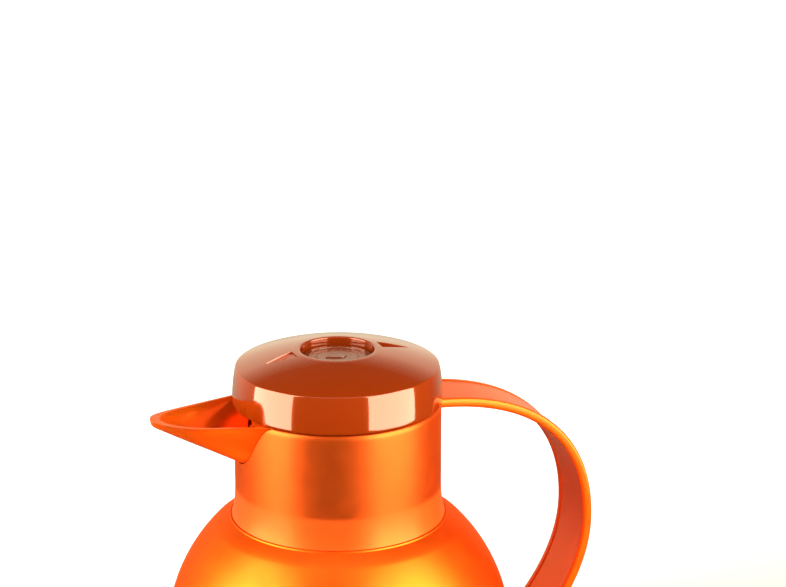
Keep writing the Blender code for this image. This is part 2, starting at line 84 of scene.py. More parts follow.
class Slot(Enum):
    """The record's material slots."""

    SATIN_ORANGE = "satin_orange_plastic"
    GLOSSY_ORANGE = "glossy_orange_plastic"
    DEEP_ORANGE = "deep_orange_gloss"
    BUTTON_BROWN = "button_brown_orange"
    WHITE_PLASTIC = "white_plastic"
    WHITE_SILICONE = "white_silicone"
    GREY_RUBBER = "grey_rubber"
    SILVERED_GLASS = "silvered_glass"
    SPRING_STEEL = "spring_steel"
    SCREW_STEEL = "screw_steel"


class Cut(Enum):
    """What a Boolean does with its tool."""

    AWAY = "DIFFERENCE"
    JOIN = "UNION"


# ---------------------------------------------------------------- finishes


class NodeDesk:
    """A material's node tree with short ways to add and join its nodes."""

    def __init__(self, name: str) -> None:
        """Make an empty material and its output."""
        self.material = bpy.data.materials.new(name)
        self.material.use_nodes = True
        self.tree = self.material.node_tree
        self.tree.nodes.clear()
        self.output = self.add("ShaderNodeOutputMaterial")

    def add(self, kind: str, **values: object) -> bpy.types.Node:
        """Add a node.

        Args:
            kind: The node's type name.
            values: Socket names, with _ for a space, and their values; a name that starts with set_ is
                a property.

        Returns:
            The new node.
        """
        node = self.tree.nodes.new(kind)
        for name, value in values.items():
            if name.startswith("set_"):
                setattr(node, name[4:], value)
            else:
                node.inputs[name.replace("_", " ")].default_value = value
        return node

    def join(self, source: bpy.types.NodeSocket, target: bpy.types.NodeSocket) -> None:
        """Link two sockets."""
        self.tree.links.new(source, target)

    def noise(self, size: float, detail: float, squash: Rgb = (1, 1, 1)) -> bpy.types.NodeSocket:
        """A noise pattern fixed to the piece.

        Args:
            size: Width of one blotch in millimetres.
            detail: Octaves of finer noise.
            squash: Stretch of the pattern along each axis, above 1 for finer.

        Returns:
            The pattern's value socket.
        """
        place = self.add("ShaderNodeTexCoord")
        mapping = self.add("ShaderNodeMapping")
        mapping.inputs["Scale"].default_value = squash
        texture = self.add("ShaderNodeTexNoise", Scale=1.0 / (size * MM), Detail=detail, Roughness=0.55)
        self.join(place.outputs["Object"], mapping.inputs["Vector"])
        self.join(mapping.outputs["Vector"], texture.inputs["Vector"])
        return texture.outputs["Fac"]

    def spread(self, source: bpy.types.NodeSocket, span: Point, result: Point) -> bpy.types.NodeSocket:
        """Map a pattern's values from one span to another, held at the ends."""
        node = self.add("ShaderNodeMapRange", From_Min=span[0], From_Max=span[1], To_Min=result[0],
                        To_Max=result[1])
        self.join(source, node.inputs["Value"])
        return node.outputs["Result"]

    def sum(self, one: bpy.types.NodeSocket, other: bpy.types.NodeSocket) -> bpy.types.NodeSocket:
        """Add two values."""
        node = self.add("ShaderNodeMath", set_operation="ADD", set_use_clamp=True)
        self.join(one, node.inputs[0])
        self.join(other, node.inputs[1])
        return node.outputs["Value"]


@dataclass(frozen=True)
class Finish:
    """A moulded, glazed or drawn surface, worked out from a few numbers."""

    name: str
    slot: Slot
    color: Rgb
    tint: Rgb                    # colour that the slow mottling leans to
    roughness: float
    roughness_spread: float = 0.03
    mottle: float = 22.0         # width of the slow colour blotches
    grain: float = 0.5           # width of the surface grain
    grain_depth: float = 0.004
    wave: float = 9.0            # width of the slow unevenness of a moulded wall
    wave_depth: float = 0.0
    wipe: float = 0.0            # extra roughness in fine wipe marks
    wipe_squash: Rgb = (1.0, 1.0, 9.0)
    metallic: float = 0.0
    coat: float = 0.0
    coat_roughness: float = 0.03
    coat_ior: float = 1.5
    edge_tint: Rgb = (1.0, 1.0, 1.0)
    specular: float = 0.5
    glow: float = 0.0            # share of light that travels inside the plastic
    glow_radius: Rgb = (2.0, 0.8, 0.3)
    painted_light_band_top: float = 0.0       # height in metres up to which the wall is less metallic and so lighter, a painted light band; 0 for none
    painted_light_band_metallic: float = 0.0

    def material(self) -> bpy.types.Material:
        """Return the finish's material, made on first use."""
        found = bpy.data.materials.get(self.name)
        if found:
            return found
        desk = NodeDesk(self.name)
        shader = desk.add("ShaderNodeBsdfPrincipled", Metallic=self.metallic, Coat_Weight=self.coat,
                          Coat_Roughness=self.coat_roughness, Coat_IOR=self.coat_ior,
                          Specular_IOR_Level=self.specular, Specular_Tint=(*self.edge_tint, 1.0))
        if self.glow:
            shader.inputs["Subsurface Weight"].default_value = self.glow
            shader.inputs["Subsurface Radius"].default_value = self.glow_radius
            shader.inputs["Subsurface Scale"].default_value = MM
        # Painted light band: below the band's top height the metallic drops, so the lower wall shows
        # lighter, standing for the light that the lower neck catches.
        if self.painted_light_band_top:
            place, split = desk.add("ShaderNodeTexCoord"), desk.add("ShaderNodeSeparateXYZ")
            desk.join(place.outputs["Object"], split.inputs[0])
            desk.join(desk.spread(split.outputs["Z"], (self.painted_light_band_top - MM, self.painted_light_band_top + MM),
                                  (self.painted_light_band_metallic, self.metallic)), shader.inputs["Metallic"])
        desk.join(shader.outputs["BSDF"], desk.output.inputs["Surface"])
        self.paint(desk, shader)
        self.roughen(desk, shader)
        self.texture(desk, shader)
        return desk.material

    def paint(self, desk: NodeDesk, shader: bpy.types.Node) -> None:
        """Mix the colour with its tint in slow blotches."""
        mix = desk.add("ShaderNodeMix", set_data_type="RGBA")
        mix.inputs[6].default_value = (*self.color, 1.0)
        mix.inputs[7].default_value = (*self.tint, 1.0)
        desk.join(desk.spread(desk.noise(self.mottle, 3.0), (0.3, 0.7), (0.0, 1.0)), mix.inputs[0])
        desk.join(mix.outputs[2], shader.inputs["Base Color"])

    def roughen(self, desk: NodeDesk, shader: bpy.types.Node) -> None:
        """Vary the roughness slowly, and raise it in fine wipe marks."""
        low, high = self.roughness - self.roughness_spread, self.roughness + self.roughness_spread
        rough = desk.spread(desk.noise(self.mottle / 3, 4.0), (0.3, 0.7), (low, high))
        if self.wipe:
            streaks = desk.noise(self.mottle / 2, 6.0, self.wipe_squash)
            marks = desk.spread(streaks, (0.55, 0.72), (0.0, self.wipe))
            rough = desk.sum(rough, marks)
        desk.join(rough, shader.inputs["Roughness"])

    def texture(self, desk: NodeDesk, shader: bpy.types.Node) -> None:
        """Raise the fine grain, and under it the slow unevenness of the wall."""
        grain = desk.add("ShaderNodeBump", Strength=1.0, Distance=self.grain_depth * MM)
        desk.join(desk.noise(self.grain, 2.0), grain.inputs["Height"])
        if self.wave_depth:
            wave = desk.add("ShaderNodeBump", Strength=1.0, Distance=self.wave_depth * MM)
            desk.join(desk.noise(self.wave, 1.0), wave.inputs["Height"])
            desk.join(wave.outputs["Normal"], grain.inputs["Normal"])
        desk.join(grain.outputs["Normal"], shader.inputs["Normal"])


BALL_SATIN = Finish(
    "orange_ball_satin", Slot.SATIN_ORANGE, (0.95, 0.132, 0.007), (0.93, 0.120, 0.006), roughness=0.42,
    grain=0.45, grain_depth=0.010, metallic=0.90, specular=0.3, wipe=0.03, coat=0.08, coat_roughness=0.30,
    edge_tint=(1.0, 0.45, 0.12))
NECK_FROST = Finish(
    "orange_neck_frost", Slot.SATIN_ORANGE, (0.82, 0.118, 0.014), (0.78, 0.104, 0.011), roughness=0.40,
    grain=0.40, grain_depth=0.016, metallic=0.85, specular=0.3, wipe=0.04, coat=0.14, coat_roughness=0.30,
    # painted light band: the lower neck is made less metallic and so lighter, standing for the light it
    # catches
    painted_light_band_top=0.139, painted_light_band_metallic=0.45,
    edge_tint=(1.0, 0.45, 0.12))
GLOSS_ORANGE = Finish(
    "orange_spout_gloss", Slot.GLOSSY_ORANGE, (0.84, 0.115, 0.004), (0.81, 0.106, 0.003), roughness=0.24,
    grain=1.1, grain_depth=0.002, wave_depth=0.006, metallic=0.40, coat=0.12, coat_roughness=0.06,
    glow=0.12, edge_tint=(1.0, 0.5, 0.2))
LID_GLOSS = Finish(
    "orange_lid_gloss", Slot.DEEP_ORANGE, (0.275, 0.030, 0.0006), (0.26, 0.028, 0.0005), roughness=0.13,
    roughness_spread=0.02, grain=2.0, grain_depth=0.0008, wave=14.0, wave_depth=0.004, metallic=0.22,
    coat=1.0, coat_roughness=0.02, coat_ior=1.55, wipe=0.03, edge_tint=(1.0, 0.6, 0.35))
BUTTON_BROWN = Finish(
    "button_brown_gloss", Slot.BUTTON_BROWN, (0.17, 0.034, 0.012), (0.155, 0.030, 0.010), roughness=0.26,
    mottle=6.0, grain=0.8, grain_depth=0.001, coat=0.4, coat_roughness=0.08)
WHITE_PLASTIC = Finish(
    "white_stopper_plastic", Slot.WHITE_PLASTIC, (0.80, 0.78, 0.73), (0.76, 0.74, 0.69), roughness=0.36,
    grain=0.6, grain_depth=0.006, glow=0.15, glow_radius=(2.0, 1.8, 1.4), wipe=0.05)
SILICONE = Finish(
    "milky_silicone", Slot.WHITE_SILICONE, (0.74, 0.73, 0.69), (0.69, 0.68, 0.64), roughness=0.48,
    mottle=8.0, grain=0.35, grain_depth=0.008, glow=0.35, glow_radius=(2.0, 1.9, 1.6))
RUBBER = Finish(
    "grey_rubber_matt", Slot.GREY_RUBBER, (0.085, 0.086, 0.090), (0.065, 0.066, 0.070), roughness=0.72,
    mottle=7.0, grain=0.5, grain_depth=0.02)
SILVERED = Finish(
    "silvered_flask_glass", Slot.SILVERED_GLASS, (0.86, 0.87, 0.89), (0.80, 0.81, 0.83), roughness=0.07,
    roughness_spread=0.02, grain=6.0, grain_depth=0.004, wave=20.0, wave_depth=0.05, metallic=1.0, coat=1.0,
    coat_roughness=0.02)
SPRING_WIRE = Finish(
    "drawn_spring_wire", Slot.SPRING_STEEL, (0.60, 0.60, 0.61), (0.52, 0.52, 0.54), roughness=0.24,
    mottle=3.0, grain=0.25, grain_depth=0.003, metallic=1.0, wipe=0.08, wipe_squash=(9.0, 9.0, 1.0))
SCREW_METAL = Finish(
    "plated_screw_steel", Slot.SCREW_STEEL, (0.58, 0.57, 0.55), (0.50, 0.49, 0.47), roughness=0.30,
    mottle=2.5, grain=0.3, grain_depth=0.004, metallic=1.0)


# ---------------------------------------------------------------- workshop


def rounded(corners: Sequence[Corner], closed: bool, steps: int = 5) -> list[Point]:
    """Round the corners of an outline that give a third number, their radius.

    Args:
        corners: Points (across, up) or (across, up, radius) in order.
        closed: True if the last corner leads back to the first.
        steps: Facets in each rounding.

    Returns:
        The outline's points; every rounded corner gives steps + 1 of them.
    """
    points: list[Point] = []
    count = len(corners)
    for index, corner in enumerate(corners):
        here = Vector(corner[:2])
        at_end = not closed and index in (0, count - 1)
        if len(corner) < 3 or at_end:
            points.append((here.x, here.y))
            continue
        back = Vector(corners[index - 1][:2]) - here
        ahead = Vector(corners[(index + 1) % count][:2]) - here
        if min(back.length, ahead.length) < 1e-6:
            points += [(here.x, here.y)] * (steps + 1)
            continue
        half_angle = max(back.angle(ahead) / 2, 0.05)
        reach = min(corner[2] / math.tan(half_angle), 0.49 * back.length, 0.49 * ahead.length)
        start, end = here + back.normalized() * reach, here + ahead.normalized() * reach
        for step in range(steps + 1):
            part = step / steps
            spot = start * (1 - part) ** 2 + here * 2 * part * (1 - part) + end * part ** 2
            points.append((spot.x, spot.y))
    return points


def bowed(start: Point, end: Point, bulge: float, count: int) -> list[Point]:
    """Points from start to end along a shallow arc that stands bulge proud of the chord, to its left."""
    run, climb = end[0] - start[0], end[1] - start[1]
    length = math.hypot(run, climb)
    parts = [index / count for index in range(count + 1)]
    rises = [4 * bulge * part * (1 - part) / length for part in parts]
    return [(start[0] + run * part - climb * rise, start[1] + climb * part + run * rise)
            for part, rise in zip(parts, rises)]


def cubic(points: Sequence[Point], part: float) -> Point:
    """A point on the cubic curve through the ends of four control points."""
    weights = ((1 - part) ** 3, 3 * part * (1 - part) ** 2, 3 * part ** 2 * (1 - part), part ** 3)
    across, up = (sum(weight * point[axis] for weight, point in zip(weights, points)) for axis in (0, 1))
    return across, up


def cubic_line(points: Sequence[Point], count: int) -> list[Point]:
    """Points along a cubic curve, both ends included."""
    return [cubic(points, index / count) for index in range(count + 1)]


def meridian(radius: float, low: float, high: float, count: int, centre: float) -> list[Point]:
    """Points on a ball's meridian from one height to another, with both ends.

    Args:
        radius: The ball's radius.
        low: Height of the first point.
        high: Height of the last point.
        count: Number of facets between them.
        centre: Height of the ball's centre.

    Returns:
        Points of (radius from the axis, height).
    """
    first, last = (math.asin(max(-1.0, min(1.0, (height - centre) / radius))) for height in (low, high))
    angles = [first + (last - first) * index / count for index in range(count + 1)]
    return [(radius * math.cos(angle), centre + radius * math.sin(angle)) for angle in angles]


def lathe(outline: Sequence[Point], base: float, segments: int = SEGMENTS) -> bmesh.types.BMesh:
    """Spin an outline about the jug's axis.

    Args:
        outline: Points of (radius, height); a closed outline stays clear of the axis, and an open one
            starts and ends on it.
        base: Height that the outline's heights are measured from.
        segments: Facets in a full turn.

    Returns:
        A closed mesh in millimetres.
    """
    builder = bmesh.new()
    points = [builder.verts.new((radius, 0.0, base + height)) for radius, height in outline]
    pairs = list(zip(points, points[1:]))
    if outline[0][0] > 1e-6:
        pairs.append((points[-1], points[0]))
    edges = [builder.edges.new(pair) for pair in pairs]
    bmesh.ops.spin(builder, geom=points + edges, cent=(0, 0, 0), axis=(0, 0, 1), angle=math.tau,
                   steps=segments, use_merge=True)
    return cleaned(builder)


def cleaned(builder: bmesh.types.BMesh) -> bmesh.types.BMesh:
    """Merge a mesh's doubles, drop what they leave flat and turn its faces outwards."""
    bmesh.ops.remove_doubles(builder, verts=builder.verts, dist=MERGE)
    bmesh.ops.dissolve_degenerate(builder, edges=builder.edges, dist=MERGE / 2)
    bmesh.ops.recalc_face_normals(builder, faces=builder.faces)
    return builder


def loft(rings: Sequence[Sequence[Vector]]) -> bmesh.types.BMesh:
    """Extrude a ring of points through a row of stations.

    Args:
        rings: The stations, each with the same number of points in the same order.

    Returns:
        A closed mesh in millimetres, with filled ends.
    """
    builder = bmesh.new()
    verts = [builder.verts.new(point) for point in rings[0]]
    edges = [builder.edges.new(pair) for pair in zip(verts, verts[1:] + verts[:1])]
    ends = [list(edges)]
    for ring in rings[1:]:
        grown = bmesh.ops.extrude_edge_only(builder, edges=edges)["geom"]
        fresh = {item for item in grown if isinstance(item, bmesh.types.BMVert)}
        edges = [item for item in grown
                 if isinstance(item, bmesh.types.BMEdge) and set(item.verts) <= fresh]
        moved = []
        for vert, place in zip(verts, ring):
            linked = (edge.other_vert(vert) for edge in vert.link_edges)
            follower = next(other for other in linked if other in fresh)
            follower.co = place
            moved.append(follower)
        verts = moved
    ends.append(edges)
    for end in ends:
        bmesh.ops.contextual_create(builder, geom=end)
    return cleaned(builder)


def rod(radius: float, start: Vector, end: Vector, segments: int, chamfer: float = 0.0) -> bmesh.types.BMesh:
    """A straight round bar between two points.

    Args:
        radius: The bar's radius.
        start: Centre of one end.
        end: Centre of the other.
        segments: Facets round it.
        chamfer: Width of the rounding on its end edges.

    Returns:
        A closed mesh in millimetres.
    """
    builder = bmesh.new()
    axis = end - start
    turn = axis.to_track_quat("Z", "Y").to_matrix().to_4x4()
    bmesh.ops.create_cone(builder, cap_ends=True, segments=segments, radius1=radius, radius2=radius,
                          depth=axis.length, matrix=Matrix.Translation((start + end) / 2) @ turn)
    if chamfer:
        rims = [edge for edge in builder.edges if any(len(face.verts) > 4 for face in edge.link_faces)]
        soften(builder, rims, chamfer)
    return cleaned(builder)


def block(low: Vector, high: Vector, rounding: float = 0.0) -> bmesh.types.BMesh:
    """A box between two corners, with rounded edges if a rounding is given."""
    builder = bmesh.new()
    size = Matrix.Diagonal((*(high - low), 1.0))
    bmesh.ops.create_cube(builder, size=1.0, matrix=Matrix.Translation((low + high) / 2) @ size)
    if rounding:
        soften(builder, list(builder.edges), rounding)
    return builder


def soften(builder: bmesh.types.BMesh, edges: list[bmesh.types.BMEdge], width: float) -> None:
    """Round some edges of a mesh."""
    bmesh.ops.bevel(builder, geom=edges, offset=width, offset_type="OFFSET", affect="EDGES", segments=3,
                    profile=0.5, material=-1, clamp_overlap=True)


def as_object(builder: bmesh.types.BMesh, name: str) -> bpy.types.Object:
    """Turn a mesh in millimetres into a scene object in metres and free it."""
    bmesh.ops.scale(builder, vec=(MM, MM, MM), verts=builder.verts)
    mesh = bpy.data.meshes.new(name)
    builder.to_mesh(mesh)
    builder.free()
    made = bpy.data.objects.new(name, mesh)
    bpy.context.scene.collection.objects.link(made)
    return made


def combine(piece: bpy.types.Object, builder: bmesh.types.BMesh, cut: Cut) -> None:
    """Cut a shape away from a piece, or join it on, and keep the result as the piece's own mesh.

    Args:
        piece: The object to change.
        builder: The tool's mesh in millimetres; it is used up.
        cut: Whether the tool is cut away or joined.
    """
    tool = as_object(builder, "tool")
    boolean = piece.modifiers.new("Cut", "BOOLEAN")
    boolean.operation = cut.value
    boolean.object = tool
    boolean.solver = "EXACT"
    graph = bpy.context.evaluated_depsgraph_get()
    result = bpy.data.meshes.new_from_object(piece.evaluated_get(graph), depsgraph=graph)
    piece.modifiers.clear()
    old, tool_mesh = piece.data, tool.data
    piece.data = result
    result.name = old.name
    bpy.data.objects.remove(tool)
    for mesh in (old, tool_mesh):
        bpy.data.meshes.remove(mesh)


def hand_over(piece: bpy.types.Object, body: Body, finish: Finish, *nodes: str) -> bpy.types.Object:
    """Smooth a finished piece, dress it and put it in the frame.

    Args:
        piece: The object, with its mesh in place.
        body: The body that it rides on.
        finish: Its finish.
        nodes: The CAD nodes that it stands for.

    Returns:
        The same object.
    """
    mesh = piece.data
    tidy = bmesh.new()
    tidy.from_mesh(mesh)
    bmesh.ops.remove_doubles(tidy, verts=tidy.verts, dist=MERGE * MM)
    bmesh.ops.recalc_face_normals(tidy, faces=tidy.faces)
    tidy.to_mesh(mesh)
    tidy.free()
    mesh.shade_smooth()
    mesh.set_sharp_from_angle(angle=SHARP_ANGLE)
    weigh = piece.modifiers.new("Even normals", "WEIGHTED_NORMAL")
    weigh.keep_sharp = True
    mesh.materials.clear()
    mesh.materials.append(finish.material())
    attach(piece, body.value)
    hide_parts(*nodes)
    log.info("%s: %d faces, rides on %s, stands for %s", piece.name, len(mesh.polygons), body.value,
             ", ".join(nodes))
    return piece


@dataclass(frozen=True)
class Datum:
    """Places read from the frame, in millimetres."""

    rim: float          # height of the lid's lower edge
    ball_radius: float
    ball_height: float  # height of the ball's centre
    tip: float          # reach of the spout's tip from the axis

    @classmethod
    def from_frame(cls) -> "Datum":
        """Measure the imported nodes."""
        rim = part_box("lid_cover")[0][2] / MM
        ball_drop = 108.7
        return cls(rim=rim, ball_radius=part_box("upper_shell")[1][1] / MM, ball_height=rim - ball_drop,
                   tip=-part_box("spout_collar")[0][0] / MM)


# ---------------------------------------------------------------- ball


@dataclass
class Ball:
    """The insulating ball: two half shells and the bottom plate. Heights are above the standing plane."""

    datum: Datum
    wall: float = 2.2
    split: float = 60.0        # height of the joint between the halves
    joint_gap: float = 0.35
    joint_round: float = 0.35
    seam_radius: float = 46.3  # edge of the round opening for the neck
    seam_drop: float = 51.3    # its depth below the lid's lower edge
    shoulder_drop: float = 56.0  # the crest runs down to here, below the lid's lower edge
    joint_bevel: float = 0.45    # how far the halves' edges stay inside the ball
    foot_radius: float = 44.0
    lug_angle: float = math.radians(-18.2)

    def build(self) -> None:
        """Make the ball's three pieces."""
        self.upper()
        self.lower()
        self.plate()

    def upper(self) -> None:
        """Upper half with the crest that meets the neck sleeve."""
        rim, radius, centre = self.datum.rim, self.datum.ball_radius, self.datum.ball_height
        seam_z, shoulder_z = rim - self.seam_drop, rim - self.shoulder_drop
        shoulder = meridian(radius, shoulder_z, shoulder_z, 1, centre)[0]
        bead = rounded([(self.seam_radius - 0.3, seam_z + 0.3), (self.seam_radius, seam_z + 0.6, 0.2),
                        (self.seam_radius + 0.45, seam_z + 0.5, 0.3),
                        (self.seam_radius + 0.75, seam_z - 0.15, 0.2),
                        (self.seam_radius + 1.2, seam_z - 0.4)], closed=False)
        pulls = (49.2, seam_z - 1.45), (shoulder[0] - 1.4, shoulder_z + 1.4)
        crest = cubic_line((bead[-1], *pulls, shoulder), 10)
        edge = self.split + self.joint_gap
        outer = bead[:-1] + crest + meridian(radius, shoulder_z, edge + self.joint_round, 56, centre)[1:]
        outer += [(radius - self.joint_bevel, edge)]
        inner = meridian(radius - self.wall, edge, shoulder_z, 40, centre)
        lip = rounded([(46.2, rim - 54.0), (45.2, rim - 52.9, 0.3), (43.5, rim - 52.9, 0.2),
                       (43.5, rim - 51.9, 0.2), (44.2, rim - 51.3, 0.2)], closed=False, steps=3)
        shell = as_object(lathe(outer + inner + lip, 0.0), "ball_upper")
        hand_over(shell, Body.JUG, BALL_SATIN, "upper_shell")

    def lower(self) -> None:
        """Lower half with the foot ring, the joint's tongue and the hole for the handle's lug."""
        radius, centre = self.datum.ball_radius, self.datum.ball_height
        outer = [(radius - self.joint_bevel, self.split)]
        outer += meridian(radius, self.split - self.joint_round, 9.0, 52, centre)
        foot = rounded([(44.6, 6.4), (self.foot_radius, 4.0, 1.5), (self.foot_radius, 0.9, 0.9),
                        (41.7, 0.9, 0.2), (41.7, 7.6, 0.3), (42.6, 9.6)], closed=False)
        inner = meridian(radius - self.wall, 11.0, 54.0, 40, centre)
        tongue = rounded([(72.2, 55.6), (71.2, 56.5, 0.4), (71.2, self.split + 4.0, 0.3),
                          (72.3, self.split + 4.0, 0.3), (72.3, self.split)], closed=False, steps=3)
        shell = as_object(lathe(outer + foot + inner + tongue, 0.0), "ball_lower")
        hole_radius = 3.55
        combine(shell, rod(hole_radius, self.lug_point(68.0), self.lug_point(82.0), 48), Cut.AWAY)
        hand_over(shell, Body.JUG, BALL_SATIN, "lower_shell")

    def lug_point(self, reach: float) -> Vector:
        """A point on the axis of the handle's lug, at a distance from the ball's centre."""
        return Vector((reach * math.cos(self.lug_angle), 0.0,
                       self.datum.ball_height + reach * math.sin(self.lug_angle)))

    def plate(self) -> None:
        """Bottom plate: rounded ring and hub to stand on, with ribs moulded between them."""
        outline = rounded([(0.0, 3.0), (38.6, 3.0, 0.8), (38.6, 8.2, 0.4), (41.3, 8.2, 0.4),
                           (41.3, 0.0, 1.3), (33.0, 0.0, 0.6), (32.2, 1.2, 0.4), (12.6, 1.2, 0.4),
                           (12.0, 0.0, 0.5), (0.0, 0.0)], closed=False)
        plate = as_object(lathe(outline, 0.0), "foot_plate")
        ribs = bmesh.new()
        rib_count, rib_half, rib_low = 12, 0.7, 0.35
        for index in range(rib_count):
            turn = Matrix.Rotation(math.tau * index / rib_count, 4, "Z")
            place = Matrix.Translation((22.4, 0, rib_low + 0.8))
            size = Matrix.Diagonal((22.0, 2 * rib_half, 1.6, 1.0))
            bmesh.ops.create_cube(ribs, size=1.0, matrix=turn @ place @ size)
        combine(plate, ribs, Cut.JOIN)
        hand_over(plate, Body.JUG, BALL_SATIN, "base_plate")


# ---------------------------------------------------------------- spout, collar and neck


@dataclass
class Spout:
    """Shape of the pouring spout: a rounded V whose sides flare out to a rolled rim."""

    datum: Datum
    root: float = 41.0          # distance from the axis where the root's half width is taken
    root_half: float = 22.4
    taper: float = 0.307
    nose: float = 60.0          # the nose starts to round off here
    nose_power: float = 2.6
    keel: float = -24.4
    keel_rise: float = 0.546
    rim_height: float = -0.5
    tip_lift: float = 1.4
    wall: float = 1.9
    lip: float = 4.2            # width of the rim at the tip
    side_curve: tuple[Point, ...] = ((0, -1), (0.55, -1), (0.66, -0.25), (1, 0))
    across: int = 16            # facets from the keel to the rim
    edge_round: float = 0.75
    tip_round: float = 1.5

    def half_width(self, distance: float, tip: float, inset: float) -> float:
        """Half width of the rim at a distance from the axis, for an outline that ends at tip."""
        straight = self.root_half - self.taper * (distance - self.root) - inset
        along = min(1.0, max(0.0, (distance - self.nose) / (tip - self.nose)))
        return straight * (1 - along ** self.nose_power) ** (1 / self.nose_power)

    def rim(self, distance: float) -> float:
        """Height of the rim at a distance from the axis."""
        along = max(0.0, (distance - self.nose) / (self.datum.tip - self.nose))
        return self.rim_height + self.tip_lift * along ** 2

    def side(self, distance: float, tip: float, inset: float, grow: float) -> list[Point]:
        """Points of one side from the keel up to the rim, as (across, height)."""
        half = self.half_width(distance, tip, inset) + grow
        rim = self.rim(distance)
        keel = self.keel + self.keel_rise * (distance - self.root) + inset * 1.15 - grow
        depth = max(rim - keel, 0.6)
        if half <= grow + 1e-6:
            depth = 0.0
        return [(half * out, rim + depth * up) for out, up in cubic_line(self.side_curve, self.across)]

    def stations(self, start: float, tips: Sequence[float]) -> list[float]:
        """Distances from the axis for the sections, closer together towards each tip."""
        spread = {start + (self.nose - start) * index / 12 for index in range(13)}
        for tip in tips:
            for index in range(1, 26):
                spread.add(self.nose + (tip - 0.02 - self.nose) * math.sin(index / 25 * math.pi / 2))
        ordered = sorted(spread)
        return [one for one, following in zip(ordered, ordered[1:] + [math.inf]) if following - one > 0.012]

    def shell(self, start: float) -> bmesh.types.BMesh:
        """The spout's wall from a distance inside the collar out to the rounded tip."""
        tip = self.datum.tip
        inner_tip = tip - self.lip
        rings = []
        for distance in self.stations(start, (tip, inner_tip)):
            outside = self.side(distance, tip, 0.0, 0.0)
            inside = self.side(distance, inner_tip, self.wall, 0.0)
            right = [(*point, self.edge_round) if point == outside[-1] else point for point in outside]
            right += [(*inside[-1], self.edge_round * 0.7)] + inside[-2::-1]
            shaped = rounded(right, closed=False, steps=5)
            shaped = self.blunt(shaped, distance)
            left = [(-across, up) for across, up in shaped[-2:0:-1]]
            rings.append([Vector((-distance, across, self.datum.rim + up)) for across, up in shaped + left])
        return loft(rings)

    def blunt(self, section: list[Point], distance: float) -> list[Point]:
        """Squeeze a section near the tip towards its middle height, so that the tip is round."""
        past = (distance - (self.datum.tip - self.tip_round)) / self.tip_round
        if past <= 0:
            return section
        keep = math.sqrt(max(0.0, 1 - past ** 2))
        heights = [up for _, up in section]
        middle = (max(heights) + min(heights)) / 2
        return [(across, middle + (up - middle) * keep) for across, up in section]

    def solid(self, start: float, end: float, inset: float, grow: float) -> bmesh.types.BMesh:
        """A filled spout with an upright top, to cut the collar or the neck with."""
        above = 8.0
        tip = self.datum.tip - (self.lip if inset else 0.0) + grow
        rings = []
        count = 14
        for index in range(count + 1):
            distance = start + (end - start) * index / count
            right = self.side(distance, tip, inset, grow)
            top = right[-1]
            right += [(top[0], top[1] + above)]
            left = [(-across, up) for across, up in right[:0:-1]]
            rings.append([Vector((-distance, across, self.datum.rim + up)) for across, up in right + left])
        return loft(rings)


@dataclass
class Thread:
    """Multi-start thread of the lid: short ribs on a helix."""

    datum: Datum
    lead: float = 24.0
    starts: int = 4
    span: float = math.radians(24)

    def ribs(self, inner: float, outer: float, low: float,
             keep: Callable[[float], bool]) -> bmesh.types.BMesh:
        """The ribs of one side of the thread.

        Args:
            inner: Radius of the ribs' foot.
            outer: Radius of their crest; it may be smaller than inner for ribs that point inwards.
            low: Height of the lower row.
            keep: Says for a rib's angle whether it is made.

        Returns:
            One mesh with every rib as a closed body.
        """
        whole = bmesh.new()
        steps = 12
        for index in range(self.starts * 2):
            middle = math.tau * index / (self.starts * 2)
            if not keep(middle):
                continue
            base = low + (index % 2) * self.lead / self.starts / 2
            rings = []
            for step in range(steps + 1):
                part = step / steps
                lean = (part - 0.5) * self.span
                fade = min(1.0, 5 * min(part, 1 - part) + 0.25)
                crest = inner + (outer - inner) * fade
                foot = rounded([(inner, -1.1), (crest, -0.6, 0.25), (crest, 0.6, 0.25), (inner, 1.1)],
                               closed=True, steps=3)
                height = self.datum.rim + base + self.lead * lean / math.tau
                rings.append([Vector((radius * math.cos(middle + lean), radius * math.sin(middle + lean),
                                      height + up)) for radius, up in foot])
            rib = loft(rings)
            holder = bpy.data.meshes.new("rib")
            rib.to_mesh(holder)
            rib.free()
            whole.from_mesh(holder)
            bpy.data.meshes.remove(holder)
        return whole


